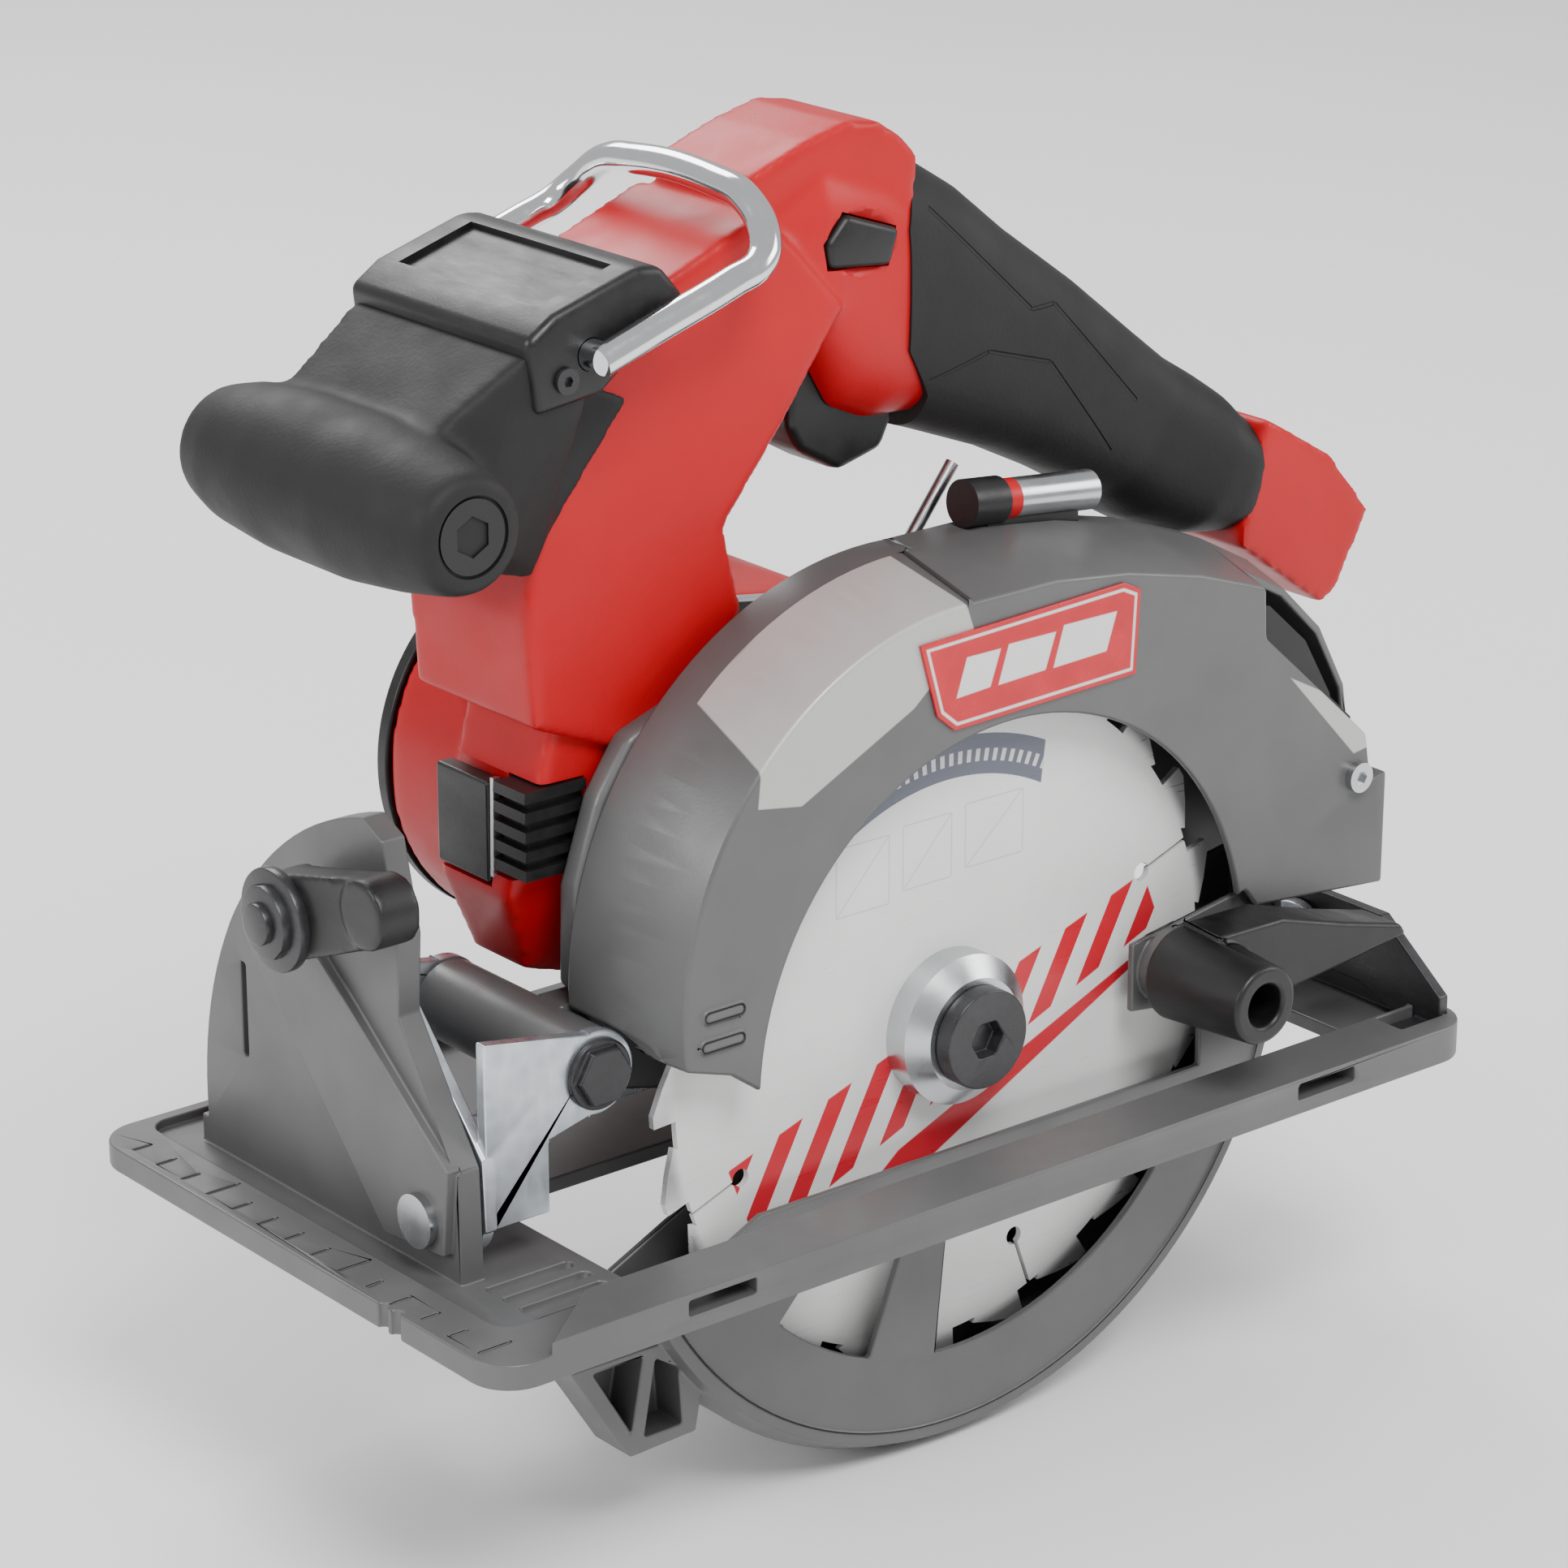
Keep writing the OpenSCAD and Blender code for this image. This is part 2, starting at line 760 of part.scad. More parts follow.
module motor_pinion() {
    color([0.6, 0.6, 0.62])
        along_y(27, 34.5)
            translate(motor)
                difference() {
                    gear(pinion_teeth, pinion_r, drive_angle - 180 + 360 / pinion_teeth / 2);
                    circle(r = shaft_r);
                }
}

module motor_bearings() {
    color([0.7, 0.71, 0.74]) {
        y_tube(motor, plate_y1 - 5, plate_y1, shaft_r + run_gap, motor_bearing_r);
        y_tube(motor, cap_y0 - 7, cap_y0 - 3.5, shaft_r + run_gap, motor_bearing_r);
    }
}

// ---- blade and spindle ----

module spindle() {
    color([0.68, 0.69, 0.71])
        difference() {
            union() {
                y_rod(arbor, -0.8, 8, 6);
                y_rod(arbor, 7, 27, spindle_r);
                y_rod(arbor, 20, 24, spindle_r + 2);
                y_rod(arbor, 26, 34.5, spindle_r);
                y_rod(arbor, 34, plate_y1 - 1.5, tail_r);
            }
            y_rod(arbor, -2, 12, 4);
        }
}

module spindle_gear() {
    color([0.55, 0.55, 0.57])
        along_y(27, 34)
            translate(arbor)
                difference() {
                    gear(gear_teeth, gear_r, 0);
                    circle(r = spindle_r);
                    for (i = [0:5])
                        rotate(60 * i)
                            translate([15.5, 0])
                                circle(r = 3.2);
                }
}

module spindle_bearings() {
    color([0.7, 0.71, 0.74]) {
        y_tube(arbor, hub_y0, 19.5, spindle_r + run_gap, bearing_r);
        y_tube(arbor, case_y1, plate_y1 - 1, tail_r + run_gap, tail_bearing_r);
    }
}

module inner_flange() {
    color([0.72, 0.73, 0.75])
        difference() {
            union() {
                y_rod(arbor, blade_t / 2, 6.8, flange_r);
                y_rod(arbor, -blade_t / 2 + 0.2, 1, blade_bore / 2);
            }
            y_rod(arbor, -2, 8, 6);
        }
}

// One tooth with the rise behind it; it points along +X before it is turned into place
module tooth_outline() {
    polygon([[blade_r - 8, -9], [blade_r - 7.6, 3], [blade_r - 0.2, 3.4], [blade_r, 0.6],
             [blade_r - 2.6, -5.5], [blade_r - 5.6, -11]]);
}

module saw_blade() {
    color([0.9, 0.9, 0.89])
        difference() {
            union() {
                y_rod(arbor, -blade_t / 2, blade_t / 2, blade_r - 6, $fn = 128);
                for (i = [0:blade_teeth - 1])
                    along_y(-blade_t / 2, blade_t / 2)
                        translate(arbor)
                            rotate(i * 360 / blade_teeth)
                                tooth_outline();
            }
            y_rod(arbor, -blade_t, blade_t, blade_bore / 2);
            for (i = [0:3])
                along_y(-blade_t, blade_t)
                    translate(arbor)
                        rotate(90 * i + 20)
                            translate([blade_r - 20, 0]) {
                                circle(r = 2.2, $fn = 24);
                                translate([0, -0.5])
                                    square([16, 1]);
                            }
        }
}

module outer_flange() {
    color([0.75, 0.75, 0.76])
        turned_y(arbor, 0, 360)
            polygon([[4, -blade_t / 2], [flange_r, -blade_t / 2], [flange_r, -7], [13, -10.5], [4, -10.5]]);
}

module blade_bolt() {
    color([0.08, 0.08, 0.09])
        difference() {
            union() {
                y_rod(arbor, -15, -10.5, 11.5);
                y_rod(arbor, -11, 10, 4);
            }
            y_rod(arbor, -16, -11.5, 4.6, $fn = 6);
        }
}

// ---- lower guard ----

guard_a0 = -155;
guard_a1 = 9;

module lower_plate_outline() {
    difference() {
        arc_band(arbor, 25, lower_r - 4, guard_a0 + 0.4, guard_a1 - 0.4);
        polygon([[-120, 4], [72, 4], [72, 20], [50, 23], [50, 64], [-120, 64]]);
        intersection() {
            union() {
                arc_band(arbor, 30, 77, -96, -40);
                arc_band(arbor, 30, 77, -134, -111);
            }
            translate([-100, -106])
                square([200, 100]);
        }
    }
}

module lower_guard() {
    color([0.5, 0.5, 0.51])
        difference() {
            union() {
                turned_y(arbor, guard_a0, guard_a1)
                    polygon([[lower_r, hub_y0 + 2], [lower_r, -2], [lower_r - 3, rim_y0],
                             [lower_r - 6, rim_y0], [lower_r - 6, rim_y0 + 2.3], [lower_r - 4, rim_y0 + 2.3],
                             [lower_r - lower_wall, -1.4], [lower_r - lower_wall, hub_y0], [24, hub_y0],
                             [24, hub_y0 + 2]]);
                along_y(rim_y0 + 0.15, rim_y0 + 2)
                    lower_plate_outline();
                y_rod(arbor, hub_y0 + 0.2, hub_y1, hub_r);
                along_y(-5, 8)
                    difference() {
                        polygon([[-108.6, -19.3], [-92.6, -44.5], [-74.7, -43.9], [-70, -20]]);
                        disc(arbor, lower_r - 1.6, $fn = 128);
                    }
                y_rod(post, -13, rim_y0 + 1, 8.5);
            }
            y_rod(arbor, hub_y0 - 1, hub_y1 + 1, nose_r + run_gap);
            y_rod(post, -14, -8, 2);
            along_y(-6, 4) {
                polygon([[-102.5, -21.5], [-92.2, -38.5], [-89, -21.5]]);
                polygon([[-85.5, -23], [-88.8, -40.8], [-78.5, -40.8], [-79.5, -27]]);
            }
        }
}

module guard_lever() {
    color([0.1, 0.1, 0.11])
        difference() {
            union() {
                translate([post[0], -13, post[1]])
                    rotate([90, 0, 0])
                        cylinder(r1 = 11.5, r2 = 9.2, h = 28);
                along_y(-26, -13)
                    polygon([[60, 44.5], [80, 44], [100, 38], [119, 33], [121, 30], [105, 28], [60, 23.5]]);
            }
            y_rod(post, -42, -15, 5);
            y_rod(post, -16, -12, 2);
        }
}

module lever_rivets() {
    color([0.6, 0.6, 0.62])
        union() {
            y_rod(post, -15, -8, 2);
            y_rod(post, -17, -15, 4);
        }
}

module guard_circlip() {
    color([0.6, 0.6, 0.62])
        arc_band_y(9.2, 10.1, nose_r, nose_r + 2.5);
}

// Open ring about the nose, broken at the top
module arc_band_y(y0, y1, r0, r1) {
    difference() {
        y_tube(arbor, y0, y1, r0, r1);
        box([-2, y0 - 1, arbor_h], [2, y1 + 1, arbor_h + r1 + 1]);
    }
}

// Return spring of the lower guard, wound round the nose
module guard_spring() {
    color([0.55, 0.55, 0.57])
        arc_band_y(hub_y1 + 0.6, inner_wall_y - 0.3, nose_r + 0.4, nose_r + 2.4);
}

module depth_lock_bolt() {
    color([0.7, 0.7, 0.72]) {
        y_rod(lock, inner_wall_y - 1.4, inner_wall_y, 6);
        y_rod(lock, inner_wall_y, 37, lock_r);
        y_rod(lock, 36, 38, 5);
    }
}

module depth_lever() {
    color([0.12, 0.12, 0.13])
        difference() {
            union() {
                y_rod(lock, 28, 36, 8);
                along_y(29, 34)
                    rotate(11)
                        translate([61.9, 33.3])
                            round_rect(0, 0, 42, 11, 4.5);
            }
            y_rod(lock, 27, 37, lock_r + run_gap);
        }
}

// ---- spindle lock and vent ----

module spindle_lock() {
    color([0.12, 0.12, 0.13]) {
        box([-92.5, 43, 74], [-88, 62, 97]);
        x_rod(50, 86, -89, -58, 4);
    }
}

module front_louvre() {
    color([0.08, 0.08, 0.09])
        for (i = [0:4])
            box([-88.5, 32, 78.6 + 4 * i], [-85.6, 41.6, 80.6 + 4 * i]);
}

// ---- handle ----

module grip_outline(inset) {
    blend([-6, 200], 29 - inset, [20, 185], 29 - inset);
    blend([20, 185], 29 - inset, [62, 163], 22 - inset);
    blend([62, 163], 22 - inset, [98, 140], 18.2 - inset);
}

module strut_outline(inset) {
    polygon([for (p = [[-34, 126], [-39, 147], [-22, 168], [-6, 190], [-30, 215], [-58, 203], [-80, 186],
                       [-88, 165], [-92, 136], [-90, 118]]) pull(p, [-52, 168], inset)]);
}

module foot_outline(inset) {
    polygon([for (p = [[106, 146], [121, 143], [142, 131], [156, 115], [146, 98], [141, 94], [114, 113],
                       [100, 122]]) pull(p, [125, 121], inset)]);
}

module in_trigger_frame() {
    translate(trigger_origin)
        rotate(trigger_dir - 90)
            children();
}

module cover_solid() {
    difference() {
        intersection() {
            along_y(handle_y - 15, handle_y + 15)
                grip_outline(0);
            along_y(handle_y - 16, handle_y + 16)
                polygon([[-30, 250], [-26, 214], [20, 190], [62, 166], [96, 143], [112, 158], [90, 250]]);
        }
        along_y(handle_y - 16, handle_y + 16)
            grip_outline(cover_t);
    }
}

module terminal_outline() {
    polygon([[119.7, 109], [134.4, 98.65], [139.6, 106], [124.9, 116.4]]);
}

screw_points = [[-60, 150], [-60, 180], [-14, 214], [60, 168], [104, 134], [136, 124]];

// Half widths of strut, grip and foot on the side s, hollow inside and open at the middle plane
module handle_half(s) {
    y_low = s < 0 ? -1 : 0;
    difference() {
        union() {
            along_y(handle_y + y_low * strut_half, handle_y + (1 + y_low) * strut_half)
                strut_outline(0);
            along_y(handle_y + y_low * grip_half, handle_y + (1 + y_low) * grip_half)
                grip_outline(0);
            along_y(handle_y + y_low * foot_half, handle_y + (1 + y_low) * foot_half)
                foot_outline(0);
        }
        along_y(handle_y - strut_half + shell_wall, handle_y + strut_half - shell_wall)
            strut_outline(shell_wall * 1.3);
        along_y(handle_y - grip_half + shell_wall, handle_y + grip_half - shell_wall)
            grip_outline(shell_wall);
        along_y(handle_y - foot_half + shell_wall, handle_y + foot_half - shell_wall)
            foot_outline(shell_wall * 1.3);
        along_y(case_y1 - 0.2, motor_y1)
            housing_outline(-0.05);
        along_y(handle_y - trigger_half - move_gap, handle_y + trigger_half + move_gap)
            in_trigger_frame()
                translate([-16 - move_gap, -15])
                    square([31.5 + 2 * move_gap, 30 + trigger_travel]);
        along_y(handle_y - 40, handle_y + 40)
            round_rect(button[0] - 10 - move_gap, button[1] - 4.5 - move_gap, button[0] + 10 + move_gap,
                       button[1] + 4.5 + move_gap, 4.4 + move_gap);
        cover_solid();
        along_y(handle_y - 14, handle_y + 14)
            terminal_outline();
        for (p = screw_points)
            y_rod(p, handle_y, handle_y + 40, 1.8);
    }
}

module handle_left() {
    color([0.8, 0.07, 0.1])
        handle_half(-1);
}

module handle_right() {
    color([0.8, 0.07, 0.1])
        handle_half(1);
}

// Screws driven from the motor side, heads flush with the shell
module handle_screws() {
    color([0.25, 0.25, 0.27])
        for (p = screw_points)
            difference() {
                y_rod(p, handle_y + grip_half - shell_wall, handle_y + half_at(p), 1.8);
                y_rod(p, handle_y + half_at(p) - 0.9, handle_y + half_at(p) + 1, 1, $fn = 6);
            }
}

function half_at(p) = p[0] < -50 ? strut_half : (p[0] > 100 ? foot_half : grip_half);

module grip_cover() {
    color([0.2, 0.2, 0.21])
        cover_solid();
}

module front_grip() {
    color([0.2, 0.2, 0.21])
        difference() {
            union() {
                turned_y(grip_axis, 0, 360)
                    polygon([[0, 0], [11, 0], [13, 2], [15.5, 14], [17.5, 30], [17.5, 64], [15.5, 82],
                             [12, 89.5], [8, 92], [0, 92]]);
                along_y(24, 76)
                    polygon([[-120, 183.5], [-97, 184], [-80, 186], [-88, 165], [-90.7, 146],
                             [-112, 153]]);
            }
            y_rod(grip_axis, -1, 4, 7);
        }
}

module grip_plug() {
    color([0.08, 0.08, 0.09])
        difference() {
            y_rod(grip_axis, 0.6, 4, 7);
            y_rod(grip_axis, -1, 3, 3, $fn = 6);
        }
}

hook_screw_points = [[hinge[0] - hook_r - 3.2, hinge[1] - 4.4], [hinge[0] + hook_r + 7.5, hinge[1] + 2]];

module hook_block() {
    color([0.12, 0.12, 0.13])
        difference() {
            along_y(block_y0, block_y1)
                polygon([[-99, 200], [-66, 211.5], [-58, 203], [-80, 186], [-97, 184]]);
            y_rod(hinge, 0, 100, hook_r + run_gap);
            for (p = hook_screw_points)
                y_rod(p, block_y0 - 1, block_y0 + 8, 1.6);
        }
}

module hook_screws() {
    color([0.05, 0.05, 0.06])
        for (p = hook_screw_points)
            difference() {
                union() {
                    y_rod(p, block_y0, block_y0 + 8, 1.6);
                    y_rod(p, block_y0 - 1, block_y0, 2.8);
                }
                y_rod(p, block_y0 - 2, block_y0, 1.2, $fn = 6);
            }
}

near_y = block_y0 - 1 - hook_r;
far_y = block_y1 + 1 + hook_r;
hook_near = [[hinge[0], near_y, hinge[1]], [-40, near_y, 209], [-36, 26, 221]];
hook_far = [[-36, 71, 221], [-40, far_y, 209], [hinge[0], far_y, hinge[1]]];
hook_path = concat(hook_near, hook_far, [hook_near[0]]);

module hang_hook() {
    color([0.82, 0.83, 0.85])
        for (i = [0:len(hook_path) - 2]) {
            rod(hook_path[i], hook_path[i + 1], hook_r);
            translate(hook_path[i])
                sphere(r = hook_r + 0.04, $fn = 32);
        }
}

module trigger() {
    color([0.07, 0.07, 0.08])
        along_y(handle_y - trigger_half, handle_y + trigger_half)
            in_trigger_frame()
                polygon([[-16, 2], [-13, -5], [-7, -9], [5.5, -10], [15.5, -2], [15.5, 14], [-16, 14]]);
}

module trigger_switch() {
    color([0.15, 0.15, 0.16])
        along_y(handle_y - 8, handle_y + 8)
            in_trigger_frame()
                translate([-11, 15.5 + trigger_travel])
                    square([22, 12]);
}

module lock_off_button() {
    color([0.05, 0.05, 0.06])
        along_y(handle_y - grip_half - 2.5, handle_y + grip_half + 2.5)
            round_rect(button[0] - 10, button[1] - 4.5, button[0] + 10, button[1] + 4.5, 4.4);
}

module control_board() {
    color([0.1, 0.35, 0.18])
        along_y(handle_y - 18, handle_y + 18)
            polygon([[112, 137], [138, 120.5], [137, 119], [111, 135.5]]);
}

module terminal_block() {
    color([0.07, 0.07, 0.08]) {
        along_y(handle_y - 14, handle_y + 14)
            terminal_outline();
    }
}

// ---- hex key and knob on the guard ----

key_ends = [[7.5, 30, 124.5], [27, 30, 149]];
knob_line = [[18.6, 17, 144.1], [28.6, 17, 143.1], [32.6, 17, 142.7], [56, 17, 140.4]];

module key_clip() {
    color([0.1, 0.1, 0.11])
        difference() {
            box([6, guard_y1, 121], [13.5, 33, 130]);
            rod(key_ends[0], key_ends[1], key_r);
        }
}

module hex_key() {
    color([0.7, 0.7, 0.72])
        rod(key_ends[0], key_ends[1], key_r);
}

// Black knob with the cradle that holds the barrel on the guard
module store_knob() {
    color([0.08, 0.08, 0.09])
        difference() {
            union() {
                rod(knob_line[0], knob_line[1], 5.4);
                box([24, 14.5, 130], [51, 19.5, 140]);
            }
            along_y(13, 21)
                guard_outline(0, 34);
            rod(knob_line[1], knob_line[3] + 2 * (knob_line[3] - knob_line[1]), 4.6);
        }
}

module store_ring() {
    color([0.8, 0.06, 0.09])
        rod(knob_line[1], knob_line[2], 4.6);
}

module store_barrel() {
    color([0.75, 0.76, 0.78])
        rod(knob_line[2], knob_line[3], 4.6);
}

// ---- assembly ----

shoe();
rear_bracket();
bevel_rivets();
bevel_bolt();
bevel_lever();
tilt_bracket();
depth_quadrant();
pivot_bolt();
upper_guard();
guard_screws();
badge_plate();
gear_case();
bearing_plate();
motor_housing();
motor_cap();
cap_screws();
handle_left();
handle_right();
handle_screws();
grip_cover();
front_grip();
grip_plug();
hook_block();
hook_screws();
hang_hook();
trigger();
trigger_switch();
lock_off_button();
control_board();
terminal_block();
stator();
windings();
rotor_shaft();
rotor_core();
cooling_fan();
motor_pinion();
motor_bearings();
spindle();
spindle_gear();
spindle_bearings();
inner_flange();
saw_blade();
outer_flange();
blade_bolt();
lower_guard();
guard_lever();
lever_rivets();
guard_circlip();
guard_spring();
spindle_lock();
front_louvre();
depth_lock_bolt();
depth_lever();
hex_key();
key_clip();
store_knob();
store_ring();
store_barrel();
dust_port();
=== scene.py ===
"""Looks of the circular saw. Lengths below are in millimetres; the frame is in metres."""
import json
import math

import bmesh
import bpy
from mathutils import Matrix, Vector


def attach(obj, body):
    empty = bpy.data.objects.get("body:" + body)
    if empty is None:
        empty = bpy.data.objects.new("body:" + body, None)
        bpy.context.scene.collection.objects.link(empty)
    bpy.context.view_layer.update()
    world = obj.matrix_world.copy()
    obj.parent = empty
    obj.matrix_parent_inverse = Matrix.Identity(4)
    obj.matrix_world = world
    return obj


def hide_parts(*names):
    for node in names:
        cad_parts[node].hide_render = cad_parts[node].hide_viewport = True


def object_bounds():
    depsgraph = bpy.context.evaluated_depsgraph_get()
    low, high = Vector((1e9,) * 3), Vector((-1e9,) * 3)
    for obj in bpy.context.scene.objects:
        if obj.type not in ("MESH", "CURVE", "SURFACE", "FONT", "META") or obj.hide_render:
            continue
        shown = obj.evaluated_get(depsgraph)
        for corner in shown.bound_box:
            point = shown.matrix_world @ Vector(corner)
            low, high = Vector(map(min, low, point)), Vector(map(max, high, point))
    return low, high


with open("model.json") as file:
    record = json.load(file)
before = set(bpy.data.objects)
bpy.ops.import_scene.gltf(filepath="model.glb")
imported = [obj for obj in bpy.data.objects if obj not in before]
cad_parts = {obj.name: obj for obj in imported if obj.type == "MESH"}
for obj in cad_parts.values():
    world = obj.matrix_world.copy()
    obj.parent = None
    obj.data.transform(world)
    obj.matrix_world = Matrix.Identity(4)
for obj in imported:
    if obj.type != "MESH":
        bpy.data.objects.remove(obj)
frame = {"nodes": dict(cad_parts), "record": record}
cad_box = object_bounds()

MM = 0.001
# Centre of the blade, axis of the front grip and hinge of the hook, as X and Z
ARBOR = (0.0, 31.8)
GRIP_AXIS = (-125.0, 168.0)
HINGE = (-83.0, 195.0)
# Middle plane of the rear handle and of the hook, as Y
HANDLE_Y = 50.0
HOOK_Y = 48.5
# Half widths of the handle: where the cover is, the hump, the strut and the foot
GRIP_HALF = 19.0
HUMP_HALF = 16.5
STRUT_HALF = 22.0
FOOT_HALF = 25.0
# Where the trigger sits, as X and Z, and how it is turned
TRIGGER_AT = (3.0, 160.0)
TRIGGER_TURN = math.radians(-25)
WIRE_R = 3.45


# ---- shader building ----

def shader(name, color, roughness, metallic=0.0):
    """A new material, its node tree and its main shader."""
    mat = bpy.data.materials.new(name)
    mat.use_nodes = True
    tree = mat.node_tree
    main = tree.nodes["Principled BSDF"]
    main.inputs["Base Color"].default_value = (*color, 1)
    main.inputs["Roughness"].default_value = roughness
    main.inputs["Metallic"].default_value = metallic
    return mat, tree, main


def node(tree, kind, **values):
    """A node with its properties, and its inputs given by name, set."""
    made = tree.nodes.new(kind)
    for key, value in values.items():
        if hasattr(made, key):
            setattr(made, key, value)
        else:
            made.inputs[key.replace("_", " ").title()].default_value = value
    return made


def place(tree, scale=(1, 1, 1), offset=(0, 0, 0), turn=(0, 0, 0)):
    """Coordinates of the piece in metres, moved, turned and stretched."""
    coord = tree.nodes.new("ShaderNodeTexCoord")
    mapping = tree.nodes.new("ShaderNodeMapping")
    mapping.inputs["Location"].default_value = offset
    mapping.inputs["Rotation"].default_value = turn
    mapping.inputs["Scale"].default_value = scale
    tree.links.new(coord.outputs["Object"], mapping.inputs["Vector"])
    return mapping.outputs["Vector"]


def noise(tree, scale, detail=4.0, roughness=0.5, vector=None, distortion=0.0):
    """Cloudy pattern from 0 to 1; scale is in lumps for each metre."""
    made = node(tree, "ShaderNodeTexNoise", scale=scale, detail=detail, roughness=roughness,
                distortion=distortion)
    tree.links.new(vector or place(tree), made.inputs["Vector"])
    return made.outputs["Fac"]


def ramp(tree, value, stops):
    """Colour ramp through (position, colour) stops."""
    made = tree.nodes.new("ShaderNodeValToRGB")
    points = made.color_ramp.elements
    while len(points) < len(stops):
        points.new(0.5)
    for point, (at, color) in zip(points, stops):
        point.position = at
        point.color = (*color, 1)
    tree.links.new(value, made.inputs["Fac"])
    return made.outputs["Color"]


def grey_ramp(tree, value, low, high, start=0.3, end=0.7):
    """A pattern turned into a plain number between low and high."""
    return ramp(tree, value, [(start, (low,) * 3), (end, (high,) * 3)])


def math_node(tree, operation, a, b=None, clamp=False):
    """A sum of one or two values, each a number or another node's output."""
    made = node(tree, "ShaderNodeMath", operation=operation, use_clamp=clamp)
    for socket, value in zip(made.inputs, (a, b)):
        if value is None:
            continue
        if isinstance(value, (int, float)):
            socket.default_value = value
        else:
            tree.links.new(value, socket)
    return made.outputs[0]


def mix_color(tree, amount, a, b):
    """Colour a where the amount is 0, and colour b where it is 1."""
    made = node(tree, "ShaderNodeMix", data_type="RGBA")
    for socket, value in ((made.inputs[0], amount), (made.inputs[6], a), (made.inputs[7], b)):
        if isinstance(value, tuple):
            socket.default_value = (*value, 1)
        elif isinstance(value, (int, float)):
            socket.default_value = value
        else:
            tree.links.new(value, socket)
    return made.outputs[2]


def bump(tree, main, height, strength, distance_mm, under=None):
    """Relief from a pattern, laid over an earlier relief if there is one."""
    made = node(tree, "ShaderNodeBump", strength=strength)
    made.inputs["Distance"].default_value = distance_mm * MM
    tree.links.new(height, made.inputs["Height"])
    if under is not None:
        tree.links.new(under, made.inputs["Normal"])
    tree.links.new(made.outputs["Normal"], main.inputs["Normal"])
    return made.outputs["Normal"]


def link(tree, value, main, socket):
    """Feed a pattern or colour to one of the main shader's sockets."""
    tree.links.new(value, main.inputs[socket])


# ---- materials ----

# Flats of the upper guard where a highlight is painted into the colour, as X and Z; the painted highlight
# ends this far inboard
HIGHLIGHT_FACETS = ([(-19, 112), (-2, 126), (-9, 145), (-22, 142), (-60, 118), (-62, 99), (-50, 97)],
          [(93.7, 95.3), (115.9, 71.6), (126, 73), (116.6, 83.4)])
FACET_DEPTH = 11.7
# Pale colour of the painted highlight on those flats
FACET_HIGHLIGHT = (0.62, 0.62, 0.6)
# Seams of the rear grip's cover, as X and Z, and half their width
UPPER_SEAM = [(22, 207), (51.4, 179.7), (59.1, 179.7), (84, 153)]
LOWER_SEAM = [(21.7, 167.9), (38.2, 172.3), (56.9, 166.8), (77, 142)]
SEAM_HALF = 0.55
# Width of the soft edge of every printed shape
PRINT_EDGE = 0.3
# Prints on the blade: colours, ticks for each radian of turn, slope and height of the band of bars,
# and how far the bars lean and how closely they follow each other
SLATE = (0.12, 0.13, 0.17)
TICK_PALE = (0.7, 0.7, 0.7)
FAINT = (0.42, 0.43, 0.45)
PRINT_RED = (0.6, 0.015, 0.03)
TICK_RATE = 150.0
PRINT_SLOPE = math.radians(21.8)
PRINT_RISE = 24
BAR_LEAN = math.radians(62)
BAR_RATE = 620.0


def cast_paint(name="cast_paint", color=(0.12, 0.12, 0.121), highlight_facets=()):
    """Grey satin paint on a magnesium casting, with a fine orange peel. Highlight facets are outlines of
    flats on the outboard side where a highlight is painted into the colour."""
    mat, tree, main = shader(name, color, 0.42, 0.25)
    broad = noise(tree, 22, 5, 0.6)
    light = tuple(c * 1.1 for c in color)
    dark = tuple(c * 0.92 for c in color)
    base = ramp(tree, broad, [(0.3, dark), (0.7, light)])
    if highlight_facets:
        x, y, z = coordinates(tree)
        outboard = math_node(tree, "LESS_THAN", y, FACET_DEPTH * MM)
        for outline in highlight_facets:
            # Painted highlight: the outboard flats are mixed toward a pale colour
            painted_highlight = math_node(tree, "MULTIPLY", outboard, convex_mask(tree, x, z, outline))
            base = mix_color(tree, math_node(tree, "MULTIPLY", painted_highlight, 0.75), base, FACET_HIGHLIGHT)
    link(tree, base, main, "Base Color")
    peel = noise(tree, 1400, 3, 0.6)
    link(tree, grey_ramp(tree, noise(tree, 60, 4), 0.34, 0.5), main, "Roughness")
    swell = bump(tree, main, broad, 0.12, 1.0)
    bump(tree, main, peel, 0.22, 0.12, swell)
    return mat


def moulded_red():
    """Bright red nylon with a fine spark texture and slightly faded patches."""
    mat, tree, main = shader("moulded_red", (0.5, 0.001, 0.006), 0.38)
    broad = noise(tree, 18, 4, 0.55)
    reds = ramp(tree, broad, [(0.3, (0.46, 0.001, 0.005)), (0.7, (0.54, 0.002, 0.008))])
    link(tree, reds, main, "Base Color")
    link(tree, grey_ramp(tree, noise(tree, 70, 3), 0.36, 0.48), main, "Roughness")
    main.inputs["Specular IOR Level"].default_value = 0.35
    spark = node(tree, "ShaderNodeTexVoronoi", feature="SMOOTH_F1", scale=1900)
    tree.links.new(place(tree), spark.inputs["Vector"])
    swell = bump(tree, main, broad, 0.1, 0.8)
    bump(tree, main, spark.outputs["Distance"], 0.18, 0.12, swell)
    return mat


